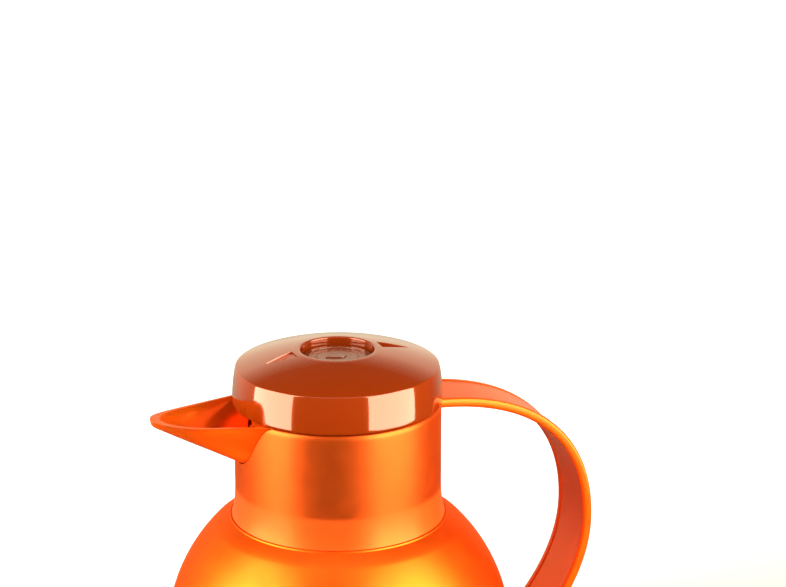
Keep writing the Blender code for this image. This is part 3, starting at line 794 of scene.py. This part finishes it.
@dataclass
class Mouth:
    """Frosted neck sleeve and, inside it, the glossy collar with the spout and the lid's thread."""

    datum: Datum
    sleeve_radius: float = 44.3
    sleeve_bore: float = 42.6
    sleeve_top: float = -0.6
    seam_radius: float = 46.0
    seam_drop: float = 50.8
    collar_radius: float = 42.2
    collar_bore: float = 38.5
    collar_floor: float = -24.2
    mouth_radius: float = 24.8

    def build(self) -> None:
        """Make the sleeve, the collar with its spout, and the ring under the collar."""
        self.sleeve()
        self.collar()
        self.seal()

    def sleeve(self) -> None:
        """Sleeve with a rounded top edge, a flare to the seam, and notches for the spout and the handle."""
        flare = cubic_line(((self.sleeve_radius, -36.0), (self.sleeve_radius, -43.5), (45.1, -48.6),
                            (self.seam_radius, -self.seam_drop + 0.15)), 14)
        wall = [(self.sleeve_radius, -12.0 - 8 * index) for index in range(3)]
        top = [(self.sleeve_bore, -2.0), (self.sleeve_bore, self.sleeve_top - 0.15)]
        top += cubic_line(((42.85, self.sleeve_top - 0.1), (43.9, self.sleeve_top - 0.35),
                           (self.sleeve_radius, -1.8), (self.sleeve_radius, -3.5)), 14)
        snap = rounded([(45.8, -self.seam_drop), (43.1, -self.seam_drop, 0.15), (43.1, -53.3, 0.2),
                        (44.0, -53.8, 0.3), (43.1, -54.8, 0.3), (42.2, -54.8, 0.2), (42.2, -48.0),
                        (self.sleeve_bore, -42.0), (self.sleeve_bore, -22.0)], closed=False, steps=3)
        band = as_object(lathe(top + wall + flare + snap, self.datum.rim), "neck_band")
        cutter = Spout(self.datum)
        combine(band, cutter.solid(30.0, 56.0, 0.0, 0.45), Cut.AWAY)
        half = 15.0
        rim = self.datum.rim
        notch = block(Vector((38.0, -half, rim - 5.2)), Vector((50.0, half, rim + 4.0)))
        combine(band, notch, Cut.AWAY)
        hand_over(band, Body.JUG, NECK_FROST, "neck_sleeve")

    def collar(self) -> None:
        """Collar, spout and inner thread as one moulding."""
        rim = self.datum.rim
        ring = rounded([(self.collar_bore, -1.0, 0.5), (self.collar_radius, -1.0, 0.5),
                        (self.collar_radius, self.collar_floor - 2.0, 0.5),
                        (self.mouth_radius, self.collar_floor - 2.0, 0.4),
                        (self.mouth_radius, self.collar_floor, 0.4),
                        (self.collar_bore, self.collar_floor, 1.6)], closed=True)
        collar = as_object(lathe(ring, rim), "pouring_collar")
        spout = Spout(self.datum)
        outside = as_object(spout.shell(33.0), "spout_wall")
        bore_radius = 41.9
        combine(outside, lathe([(0.0, 10.0), (bore_radius, 10.0), (bore_radius, -40.0), (0.0, -40.0)], rim),
                Cut.AWAY)
        combine(collar, spout.solid(26.0, 42.6, spout.wall + 0.03, 0.0), Cut.AWAY)
        wall = bmesh.new()
        wall.from_mesh(outside.data)
        bmesh.ops.scale(wall, vec=(1 / MM, 1 / MM, 1 / MM), verts=wall.verts)
        bpy.data.objects.remove(outside)
        combine(collar, wall, Cut.JOIN)
        thread = Thread(self.datum)
        ribs = thread.ribs(self.collar_bore + 0.5, 37.3, -6.2, lambda angle: math.cos(angle) > -0.5)
        combine(collar, ribs, Cut.JOIN)
        pocket = block(Vector((39.9, -10.4, rim - 4.1)), Vector((46.0, 10.4, rim - 1.6)))
        combine(collar, pocket, Cut.AWAY)
        hand_over(collar, Body.JUG, GLOSS_ORANGE, "spout_collar")

    def seal(self) -> None:
        """Silicone ring between the collar's floor and the flask's mouth."""
        top, low = self.collar_floor - 2.35, -28.55
        waist = (top + low) / 2
        outline = rounded([(25.4, top, 0.3), (31.4, top, 0.3), (31.9, waist, 0.5), (31.4, low, 0.3),
                           (25.4, low, 0.3), (25.8, waist, 0.5)], closed=True)
        ring = as_object(lathe(outline, self.datum.rim), "mouth_ring")
        hand_over(ring, Body.JUG, SILICONE, "liner_neck_seal")


# ---------------------------------------------------------------- handle


@dataclass
class Handle:
    """Ribbon handle with rolled edges, from the neck's rim round to the ball."""

    datum: Datum
    width: float = 29.0
    thickness: float = 3.3
    bead: float = 4.1
    start: Point = (34.0, -2.6)
    crest: Point = (112.0, -64.0)
    end: Point = (66.5, -137.0)
    upper_pulls: tuple[Point, Point] = ((84.0, -1.9), (112.0, -25.0))
    lower_pulls: tuple[Point, Point] = ((112.0, -93.0), (90.5, -118.5))
    lug_radius: float = 3.2
    count: int = 56             # stations in each half

    def build(self, ball: Ball) -> None:
        """Make the handle and the screw that holds it."""
        self.ribbon(ball)
        self.screw(ball)

    def section(self) -> list[Point]:
        """Closed outline across the ribbon, as (across, out)."""
        half, thin, bead = self.width / 2, self.thickness / 2, self.bead / 2
        quarter = [(half - 4.0, thin, 0.8), (half - 2.9, bead, 0.8), (half, bead, 1.7)]
        right = quarter + [(across, -out, radius) for across, out, radius in reversed(quarter)]
        left = [(-across, -out, radius) for across, out, radius in right]
        return rounded(right + left, closed=True)

    def line(self) -> list[tuple[Vector, Vector]]:
        """Points of the ribbon's middle line with the outward direction at each."""
        halves = (cubic_line((self.start, *self.upper_pulls, self.crest), self.count)[:-1]
                  + cubic_line((self.crest, *self.lower_pulls, self.end), self.count))
        line = []
        for index, point in enumerate(halves):
            before, after = halves[max(index - 1, 0)], halves[min(index + 1, len(halves) - 1)]
            tangent = (Vector(after) - Vector(before)).normalized()
            line.append((Vector(point), Vector((-tangent.y, tangent.x))))
        return line

    def ribbon(self, ball: Ball) -> None:
        """Sweep the ribbon, trim it to the neck and the ball, and add its tongue and lug."""
        section = self.section()
        rings = [[Vector((point.x + outward.x * out, across, self.datum.rim + point.y + outward.y * out))
                  for across, out in section] for point, outward in self.line()]
        grip = as_object(loft(rings), "grip_handle")
        rim = self.datum.rim
        bore = lathe([(0.0, 10.0), (42.6, 10.0), (42.6, -20.0), (0.0, -20.0)], rim)
        combine(grip, bore, Cut.AWAY)
        clear = self.datum.ball_radius + 0.55
        centre = self.datum.ball_height
        globe = lathe(meridian(clear, centre - clear, centre + clear, 90, centre), 0.0)
        combine(grip, globe, Cut.AWAY)
        tongue = block(Vector((40.3, -10.0, rim - 3.75)), Vector((44.6, 10.0, rim - 2.0)))
        combine(grip, tongue, Cut.JOIN)
        lug = rod(self.lug_radius, ball.lug_point(73.0), ball.lug_point(self.datum.ball_radius + 1.4), 48)
        combine(grip, lug, Cut.JOIN)
        bore_end = self.datum.ball_radius + 0.5
        combine(grip, rod(1.6, ball.lug_point(71.0), ball.lug_point(bore_end), 32), Cut.AWAY)
        hand_over(grip, Body.JUG, GLOSS_ORANGE, "handle")

    def screw(self, ball: Ball) -> None:
        """Screw inside the ball with a cross recess in its rounded head."""
        inner, outer = ball.lug_point(71.1), ball.lug_point(72.1)
        screw = as_object(rod(4.6, inner, outer, 48, 0.35), "lug_screw")
        combine(screw, rod(1.2, ball.lug_point(72.0), ball.lug_point(75.05), 32, 0.2), Cut.JOIN)
        axis = (outer - inner).normalized()
        turn = axis.to_track_quat("Z", "Y").to_matrix().to_4x4()
        for quarter, depth in ((0, 1.1), (math.pi / 2, 1.0)):
            slit = bmesh.new()
            size = Matrix.Diagonal((4.4, 0.9, depth, 1.0))
            place = Matrix.Translation(inner) @ turn @ Matrix.Rotation(quarter, 4, "Z")
            bmesh.ops.create_cube(slit, size=1.0, matrix=place @ size)
            combine(screw, slit, Cut.AWAY)
        hand_over(screw, Body.JUG, SCREW_METAL, "handle_screw")


# ---------------------------------------------------------------- flask


@dataclass
class Flask:
    """Silvered double-walled flask with its pads and cushion. Heights are above the standing plane."""

    datum: Datum
    centre: float = 66.0
    glass: float = 1.5
    inner_radius: float = 62.9
    outer_radius: float = 69.5
    inner_neck: float = 26.5
    outer_neck: float = 31.0
    inner_bottom: float = 19.0
    outer_bottom: float = 12.6
    mouth_top: float = -28.9     # above the lid's lower edge
    split: float = 0.35          # gap between the bowl and the top

    def build(self) -> None:
        """Make both walls, the pads between them and the cushion below."""
        self.inner_wall()
        self.outer_wall()
        self.spacers()
        self.cushion()

    def bowl(self, radius: float, bottom: float, top: float) -> list[Point]:
        """Lower part of a surface, from the axis at the bottom up to a height."""
        flat = math.sqrt(radius ** 2 - (self.centre - bottom) ** 2)
        side = meridian(radius, bottom + 5.5, top, 26, self.centre)
        points = [(0.0, bottom), (flat * 0.5, bottom)]
        points += cubic_line(((flat * 0.72, bottom), (flat * 0.9, bottom),
                              (flat * 1.02, bottom + 1.6), side[0]), 8)
        return points + side[1:]

    def shoulder(self, radius: float, neck: float, low: float, top: float) -> list[Point]:
        """Upper part of a surface, from a height up to the top of its neck."""
        meet = self.centre + math.sqrt(radius ** 2 - neck ** 2)
        points = meridian(radius, low, meet - 7.0, 26, self.centre)
        points += cubic_line((points[-1], (neck + 3.4, meet - 2.2), (neck, meet - 0.4),
                              (neck, meet + 4.0)), 10)[1:]
        return points + [(neck, top)]

    def inner_wall(self) -> None:
        """Inner wall: the bowl, and the top with the rolled rim."""
        low, high = self.centre - self.split / 2, self.centre + self.split / 2
        inside_radius = self.inner_radius - self.glass
        bowl = self.bowl(self.inner_radius, self.inner_bottom, low)
        bowl += self.bowl(inside_radius, self.inner_bottom + self.glass, low)[::-1]
        hand_over(as_object(lathe(bowl, 0.0, 120), "flask_bowl"), Body.JUG, SILVERED, "inner_glass_bowl")
        mouth = self.datum.rim + self.mouth_top
        outside = self.shoulder(self.inner_radius, self.inner_neck, high, mouth - 3.6)
        inside = self.shoulder(inside_radius, self.inner_neck - self.glass, high, mouth - 1.4)
        roll = rounded([(self.inner_neck, mouth - 3.4), (27.4, mouth - 1.7, 1.0), (30.6, mouth - 1.6, 0.7),
                        (30.8, mouth, 0.7), (self.inner_neck - self.glass, mouth, 1.1),
                        (self.inner_neck - self.glass, mouth - 1.3)], closed=False)
        top = as_object(lathe(outside + roll + inside[::-1], 0.0, 120), "flask_top")
        hand_over(top, Body.JUG, SILVERED, "inner_glass_top")

    def outer_wall(self) -> None:
        """Outer wall with the sealed-off tip at its bottom."""
        bottom, top = self.outer_bottom, self.datum.rim + self.mouth_top - 1.95
        outside = self.bowl(self.outer_radius, bottom, self.centre)
        outside += self.shoulder(self.outer_radius, self.outer_neck, self.centre, top)[1:]
        radius, neck = self.outer_radius - self.glass, self.outer_neck - self.glass
        inside = self.bowl(radius, bottom + self.glass, self.centre)
        inside += self.shoulder(radius, neck, self.centre, top)[1:]
        tip = cubic_line(((0.0, bottom - 6.0), (2.6, bottom - 6.0), (1.6, bottom - 0.6), (5.0, bottom)), 12)
        wall = as_object(lathe(tip + outside[1:] + inside[::-1], 0.0, 120), "flask_outer")
        hand_over(wall, Body.JUG, SILVERED, "outer_glass")

    def spacers(self) -> None:
        """Three pads with rounded edges between the walls."""
        lean = math.radians(-36)
        reach = (self.inner_radius + self.outer_radius - self.glass) / 2
        middle = Vector((0, 0, self.centre))
        for index in range(3):
            turn = math.tau * index / 3 + math.radians(30)
            outward = Vector((math.cos(turn) * math.cos(lean), math.sin(turn) * math.cos(lean),
                              math.sin(lean)))
            pad = rod(4.0, middle + outward * (reach - 1.2), middle + outward * (reach + 1.2), 40, 0.5)
            number = index + 1
            hand_over(as_object(pad, f"spacer_pad_{number}"), Body.JUG, RUBBER, f"glass_spacer_{number}")

    def cushion(self) -> None:
        """Cushion that carries the flask."""
        outline = rounded([(8.0, 3.4, 0.5), (27.0, 3.4, 0.8), (30.0, 6.0, 0.8), (33.0, 9.2, 0.8),
                           (33.0, 12.2, 0.6), (28.6, 12.2, 0.6), (27.0, 9.6, 0.8), (14.0, 9.6, 0.8),
                           (12.4, 12.2, 0.6), (8.0, 12.2, 0.6)], closed=True)
        hand_over(as_object(lathe(outline, 0.0, 96), "flask_cushion"), Body.JUG, RUBBER, "liner_cushion")


# ---------------------------------------------------------------- lid


@dataclass
class Lid:
    """Domed cover over the threaded stopper, with the seals between them."""

    datum: Datum
    radius: float = 45.0
    top: float = 22.74          # edge of the button's well
    well: float = 15.7
    well_round: float = 0.9
    dome_start: Point = (17.6, 22.60)
    dome_end: Point = (42.1, 16.15)
    dome_bulge: float = 0.62
    shoulder: Point = (43.4, 15.62)
    shoulder_round: float = 1.0
    stopper_radius: float = 36.8
    thread_out: float = 38.1
    ports: int = 6
    arrow_root: float = 19.0
    arrow_tip: float = 32.0
    arrow_half: float = 3.9
    arrow_floor: float = 21.25  # height of the marks' floor where it is arrow_gauge from the axis
    arrow_gauge: float = 20.0
    dome_slope: float = 0.255

    def build(self) -> None:
        """Make the cover, the stopper and their seals."""
        self.cover()
        self.stopper()
        self.seals()

    def cover(self) -> None:
        """Glossy cover: well, dome, crisp shoulder and a wall that widens to its lower edge."""
        wall = cubic_line(((43.6, 14.5), (44.4, 10.8), (44.85, 5.5), (self.radius, 0.9)), 12)
        outside = rounded([(self.well, self.top - 3.0), (self.well, self.top, self.well_round),
                           self.dome_start], closed=False, steps=7)
        outside += bowed(self.dome_start, self.dome_end, self.dome_bulge, 26)[1:-1]
        corner = (*self.shoulder, self.shoulder_round)
        outside += rounded([self.dome_end, corner, wall[0]], closed=False, steps=8) + wall[1:]
        inside = rounded([(self.radius, 0.9), (self.radius - 0.05, 0.0, 0.45), (43.1, 0.0, 0.4),
                          (42.6, 6.0, 3.0), (41.4, 12.8, 1.0), (38.9, 13.9, 0.5), (38.9, 3.0, 0.5),
                          (42.0, 3.0, 0.3), (42.0, 1.4, 0.3), (37.2, 1.4, 0.5), (37.2, 14.4, 0.8),
                          (27.0, 17.9, 3.0), (18.6, 20.2, 0.6), (17.9, 19.5, 0.4), (17.9, 9.1, 0.3),
                          (self.well, 9.1, 0.3), (self.well, self.top - 3.0)], closed=False, steps=4)
        cover = as_object(lathe(outside + inside[1:-1], self.datum.rim), "lid_dome")
        for side in (1, -1):
            combine(cover, self.arrow(side), Cut.AWAY)
        hand_over(cover, Body.LID, LID_GLOSS, "lid_cover")

    def arrow(self, side: int) -> bmesh.types.BMesh:
        """Cutter for a triangular mark that points away from the button, with a softened upper edge."""
        depth, flare = 0.72, 0.22
        rings = []
        for lift, spread in ((0.0, 0.0), (depth, 0.0), (depth + flare * 0.6, flare * 0.35),
                             (depth + 1.2, flare * 4)):
            corners = [(self.arrow_root - spread, -self.arrow_half - spread * 1.6, 0.5),
                       (self.arrow_tip + spread * 2.5, 0.0, 0.4),
                       (self.arrow_root - spread, self.arrow_half + spread * 1.6, 0.5)]
            ring = []
            for along, across in rounded(corners, closed=True, steps=4):
                drop = self.dome_slope * (along - self.arrow_gauge)
                ring.append(Vector((side * along, across, self.datum.rim + self.arrow_floor - drop + lift)))
            rings.append(ring)
        return loft(rings)

    def stopper(self) -> None:
        """Threaded skirt, pouring chamber with six ports, and the plug with the valve's seat."""
        skirt = self.stopper_radius
        outline = rounded([
            (34.8, 10.8, 0.4), (skirt, 10.8, 0.5), (skirt, -13.8, 1.0), (30.6, -13.8, 0.6),
            (30.6, -21.9, 1.0), (22.2, -21.9, 0.4), (22.2, -40.0, 1.4), (9.0, -40.0, 0.5),
            (9.0, -38.2, 0.4), (20.4, -38.2, 1.0), (20.4, -20.2, 0.4), (28.6, -20.2, 0.8),
            (28.6, -13.8, 0.5), (2.8, -13.8, 0.3), (2.8, -9.5, 0.2), (4.4, -9.5, 0.2), (4.4, -6.0, 0.2),
            (5.4, -6.0, 0.3), (5.4, -12.0, 0.6), (34.8, -12.0, 1.2)], closed=True)
        stopper = as_object(lathe(outline, self.datum.rim), "stopper")
        thread = Thread(self.datum)
        combine(stopper, thread.ribs(skirt - 0.5, self.thread_out, -9.2, lambda angle: True), Cut.JOIN)
        combine(stopper, self.port_cutter(), Cut.AWAY)
        hand_over(stopper, Body.LID, GLOSS_ORANGE, "stopper_body")

    def port_cutter(self) -> bmesh.types.BMesh:
        """Cutter for the ports through which the drink leaves the stopper."""
        through, wide, tall, rounding = 7.0, 18.0, 5.2, 1.4
        cutter = bmesh.new()
        for index in range(self.ports):
            turn = Matrix.Rotation(math.tau * index / self.ports, 4, "Z")
            place = turn @ Matrix.Translation((29.6, 0, self.datum.rim - 17.3))
            size = Matrix.Diagonal((through, wide, tall, 1.0))
            bmesh.ops.create_cube(cutter, size=1.0, matrix=place @ size)
        along = [edge for edge in cutter.edges
                 if abs((edge.verts[0].co - edge.verts[1].co).length - through) < 0.01]
        soften(cutter, along, rounding)
        return cutter

    def seals(self) -> None:
        """The gasket under the cover, the flat seal on the plug and the little ring on the rod."""
        rim = self.datum.rim
        gasket = rounded([(39.3, 1.05, 0.25), (41.3, 1.05, 0.25), (41.3, -0.1, 0.3), (40.3, -0.66, 0.5),
                          (39.3, -0.1, 0.3)], closed=True)
        hand_over(as_object(lathe(gasket, rim), "cover_gasket"), Body.RING, SILICONE, "lid_gasket")
        flat = rounded([(23.0, -22.3, 0.2), (29.4, -22.3, 0.3), (30.2, -22.8, 0.3), (29.4, -23.8, 0.4),
                        (27.8, -23.8, 0.3), (27.0, -23.3, 0.3), (23.0, -23.3, 0.2)], closed=True)
        hand_over(as_object(lathe(flat, rim, 120), "plug_seal"), Body.LID, SILICONE, "stopper_seal")
        middle, thick, count = 3.5, 0.62, 20
        loop = [(middle + thick * math.cos(math.tau * index / count),
                 -8.5 - thick * math.sin(math.tau * index / count)) for index in range(count)]
        hand_over(as_object(lathe(loop, rim, SMALL_SEGMENTS), "stem_seal"), Body.LID, SILICONE, "rod_seal")


@dataclass
class Spring:
    """Compression spring with closed end turns, between the stopper and the button."""

    datum: Datum
    radius: float = 6.4
    wire: float = 0.5
    turns: int = 8
    low: float = -11.1
    high: float = 16.4
    steps: int = 26            # stations in each turn
    sides: int = 10
    keep: float = 0.86         # height left when the button is down

    def rise(self, turned: float) -> float:
        """Height of the wire above its lower end after a number of turns; the end turns lie close."""
        close = 2.2 * self.wire
        pitch = (self.high - self.low - 2 * close) / (self.turns - 2)
        if turned < 1:
            return close * turned
        if turned > self.turns - 1:
            return self.high - self.low - close * (self.turns - turned)
        return close + pitch * (turned - 1)

    def build(self) -> None:
        """Sweep the wire."""
        rings = []
        for step in range(self.turns * self.steps + 1):
            turned = step / self.steps
            angle = math.tau * turned
            height = self.datum.rim + self.low + self.rise(turned)
            ring = []
            for side in range(self.sides):
                around = math.tau * side / self.sides
                radius = self.radius + self.wire * math.cos(around)
                ring.append(Vector((radius * math.cos(angle), radius * math.sin(angle),
                                    height + self.wire * math.sin(around))))
            rings.append(ring)
        spring = hand_over(as_object(loft(rings), "return_spring"), Body.LID, SPRING_WIRE, "button_spring")
        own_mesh(spring)


@dataclass
class Button:
    """Press button with its raised mark, the rod it pushes and the valve at the rod's end."""

    datum: Datum
    face: float = 19.54
    relief: float = 0.35
    radius: float = 15.2
    ring_radius: float = 11.9
    bead_radius: float = 8.9
    bead_count: int = 18

    def build(self) -> None:
        """Make the button, the rod and the valve."""
        self.cap()
        self.stem()
        self.valve()

    def cap(self) -> None:
        """Dished button with a raised ring, a circle of beads and a drop."""
        face = self.face - self.relief
        ring = self.ring_radius
        outline = rounded([
            (0.0, face - 0.25), (ring - 0.5, face, 0.4), (ring - 0.3, self.face, 0.2),
            (ring + 0.3, self.face, 0.2), (ring + 0.5, face, 0.2), (self.radius, face, 0.9),
            (self.radius, 8.7, 0.3), (17.2, 8.7, 0.4), (17.2, 7.0, 0.4), (13.6, 7.0, 0.4), (13.6, 17.2, 0.8),
            (4.0, 17.2, 0.4), (4.0, 12.4, 0.3), (2.75, 12.4, 0.2), (2.75, 16.2), (0.0, 16.2)], closed=False)
        cap = as_object(lathe(outline, self.datum.rim), "push_button")
        beads = bmesh.new()
        for index in range(self.bead_count):
            angle = math.tau * index / self.bead_count
            across, along = self.bead_radius * math.cos(angle), self.bead_radius * math.sin(angle)
            place = Matrix.Translation((across, along, self.datum.rim + face - 0.12))
            bmesh.ops.create_uvsphere(beads, u_segments=16, v_segments=8, radius=0.5,
                                      matrix=place @ Matrix.Diagonal((1.0, 1.0, 0.8, 1.0)))
        combine(cap, beads, Cut.JOIN)
        combine(cap, self.drop(face), Cut.JOIN)
        hand_over(cap, Body.BUTTON, BUTTON_BROWN, "press_button")

    def drop(self, face: float) -> bmesh.types.BMesh:
        """Raised drop at the button's middle, pointing to the spout."""
        count, length, half = 40, 4.6, 2.3
        rings = []
        for height, inset in ((face - 1.0, 0.0), (self.face - 0.25, 0.0), (self.face - 0.05, 0.15)):
            ring = []
            for index in range(count):
                angle = math.tau * index / count
                along = -math.cos(angle) * (length - inset) - 0.6
                across = math.sin(angle) * math.sin(angle / 2) ** 1.5 * (half - inset) * 1.3
                ring.append(Vector((along, across, self.datum.rim + height)))
            rings.append(ring)
        return loft(rings)

    def stem(self) -> None:
        """Push rod with the head that carries the valve."""
        outline = rounded([(0.0, 15.85), (2.4, 15.85, 0.5), (2.4, -46.0, 0.2), (4.2, -46.0, 0.3),
                           (4.2, -47.6, 0.7), (0.0, -47.6)], closed=False)
        stem = as_object(lathe(outline, self.datum.rim, SMALL_SEGMENTS), "button_rod")
        hand_over(stem, Body.BUTTON, WHITE_PLASTIC, "push_rod")

    def valve(self) -> None:
        """Valve disc and the washer that it presses against the seat."""
        disc = rounded([(2.8, -43.7, 0.2), (12.8, -43.7, 0.4), (12.8, -45.6, 0.8), (2.8, -45.6, 0.3)],
                       closed=True)
        hand_over(as_object(lathe(disc, self.datum.rim, 96), "valve_disc"), Body.BUTTON, WHITE_PLASTIC,
                  "valve_plate")
        washer = rounded([(2.8, -40.6, 0.2), (8.2, -40.6, 0.5), (9.4, -40.35, 0.5), (11.0, -40.35, 0.5),
                          (12.0, -40.9, 0.5), (12.0, -43.35, 0.4), (2.8, -43.35, 0.3)], closed=True)
        hand_over(as_object(lathe(washer, self.datum.rim, 96), "valve_washer"), Body.BUTTON, RUBBER,
                  "valve_seal")


# ---------------------------------------------------------------- studio


@dataclass(frozen=True)
class Softbox:
    """A lit panel that faces the jug."""

    name: str
    bearing: float      # degrees round the jug from +X
    distance: float     # metres from the jug's axis
    height: float       # metres from the floor to the panel's centre
    width: float
    tall: float
    radiance: float
    color: Rgb
    lean: float = 0.0   # degrees that the panel's top leans sideways

    def build(self, target: Vector) -> None:
        """Hang the panel and turn it to the target."""
        lamp = bpy.data.lights.new(self.name, "AREA")
        lamp.shape = "RECTANGLE"
        lamp.size, lamp.size_y = self.width, self.tall
        lamp.energy = self.radiance * math.pi * self.width * self.tall
        lamp.color = self.color
        stand = bpy.data.objects.new(self.name, lamp)
        bearing = math.radians(self.bearing)
        stand.location = (self.distance * math.cos(bearing), self.distance * math.sin(bearing), self.height)
        turn = (Vector(target) - stand.location).to_track_quat("-Z", "Y").to_matrix()
        stand.rotation_euler = (turn @ Matrix.Rotation(math.radians(-self.lean), 3, "Z")).to_euler()
        bpy.context.scene.collection.objects.link(stand)


@dataclass
class Studio:
    """Pale floor, soft light and the camera."""

    floor_radius: float = 7.0
    backlit: Point = (0.02, 0.30)    # metres behind the jug over which the floor's own light comes up
    backlight: float = 0.95
    eye: tuple[float, float, float] = (-0.33755, -0.98032, 0.54414)
    gaze: tuple[float, float, float] = (0.33154, 0.89602, -0.29534)
    lens: float = 118.05
    sensor: float = 36.0
    cream: Rgb = (1.0, 0.86, 0.66)
    warm_white: Rgb = (1.0, 0.96, 0.90)
    room: Rgb = (1.0, 0.86, 0.62)

    def build(self) -> None:
        """Set the floor, the surroundings, the lamps and the camera."""
        self.floor()
        self.surroundings()
        self.lamps()
        self.camera()
        bpy.context.scene.view_settings.view_transform = "Standard"

    def lamps(self) -> None:
        """Two tall panels at the sides, like windows, and a faint one overhead."""
        side, height, tall = 0.70, 0.47, 1.06
        level = Vector((0.0, 0.0, height))
        Softbox("left_panel", 180.5, side, height, 0.66, tall, 8.8, self.cream, lean=7.0).build(level)
        Softbox("right_panel", 311.5, side, height, 0.75, tall, 9.3, self.cream).build(level)
        overhead = Softbox("overhead_panel", 251.0, 0.35, 1.60, 1.20, 1.20, 0.9, self.warm_white)
        overhead.build(Vector((0.0, 0.0, 0.1)))

    def floor(self) -> None:
        """Large pale disc that the jug stands on."""
        builder = bmesh.new()
        bmesh.ops.create_circle(builder, cap_ends=True, segments=96, radius=self.floor_radius / MM)
        floor = as_object(builder, "pale_floor")
        desk = NodeDesk("pale_floor_paint")
        shader = desk.add("ShaderNodeBsdfPrincipled", Roughness=0.6, Emission_Color=(1.0, 1.0, 1.0, 1.0))
        place = desk.add("ShaderNodeTexCoord")
        split = desk.add("ShaderNodeSeparateXYZ")
        desk.join(place.outputs["Object"], split.inputs[0])
        desk.join(desk.spread(split.outputs["Y"], self.backlit, (0.0, self.backlight)),
                  shader.inputs["Emission Strength"])
        mix = desk.add("ShaderNodeMix", set_data_type="RGBA")
        mix.inputs[6].default_value = (0.55, 0.55, 0.55, 1.0)
        mix.inputs[7].default_value = (0.52, 0.52, 0.52, 1.0)
        desk.join(desk.noise(160.0, 2.0), mix.inputs[0])
        desk.join(mix.outputs[2], shader.inputs["Base Color"])
        desk.join(shader.outputs["BSDF"], desk.output.inputs["Surface"])
        floor.data.materials.append(desk.material)
        floor.visible_glossy = False

    def surroundings(self) -> None:
        """A warm pale room that darkens overhead, below the horizon and towards the front."""
        world = bpy.data.worlds.new("pale_room")
        bpy.context.scene.world = world
        world.use_nodes = True
        tree = world.node_tree
        background = tree.nodes["Background"]
        place = tree.nodes.new("ShaderNodeTexCoord")
        split = tree.nodes.new("ShaderNodeSeparateXYZ")
        strength: bpy.types.NodeSocket | None = None
        for axis, spans in (("Z", (0.40, 0.62, 1.0, 0.10)), ("Z", (-0.45, 0.0, 0.20, 1.0)),
                            ("Y", (0.25, 0.85, 0.12, 1.05))):
            ramp = tree.nodes.new("ShaderNodeMapRange")
            for name, value in zip(("From Min", "From Max", "To Min", "To Max"), spans):
                ramp.inputs[name].default_value = value
            tree.links.new(split.outputs[axis], ramp.inputs["Value"])
            if strength is None:
                strength = ramp.outputs["Result"]
                continue
            product = tree.nodes.new("ShaderNodeMath")
            product.operation = "MULTIPLY"
            tree.links.new(strength, product.inputs[0])
            tree.links.new(ramp.outputs["Result"], product.inputs[1])
            strength = product.outputs["Value"]
        tree.links.new(place.outputs["Generated"], split.inputs[0])
        tree.links.new(strength, background.inputs["Strength"])
        background.inputs["Color"].default_value = (*self.room, 1.0)

    def camera(self) -> None:
        """Camera in front of the jug and a little above it."""
        data = bpy.data.cameras.new("camera")
        data.lens = self.lens
        data.sensor_width = self.sensor
        data.sensor_fit = "HORIZONTAL"
        data.dof.use_dof = False
        camera = bpy.data.objects.new("camera", data)
        camera.location = self.eye
        camera.rotation_euler = Vector(self.gaze).to_track_quat("-Z", "Y").to_euler()
        bpy.context.scene.collection.objects.link(camera)
        bpy.context.scene.camera = camera


def main() -> None:
    """Build the jug and its surroundings."""
    logging.basicConfig(level=logging.INFO, format="%(name)s: %(message)s")
    datum = Datum.from_frame()
    Studio().build()
    ball = Ball(datum)
    ball.build()
    Mouth(datum).build()
    Handle(datum).build(ball)
    Flask(datum).build()
    Lid(datum).build()
    Spring(datum).build()
    Button(datum).build()


if __name__ == "__main__":
    main()
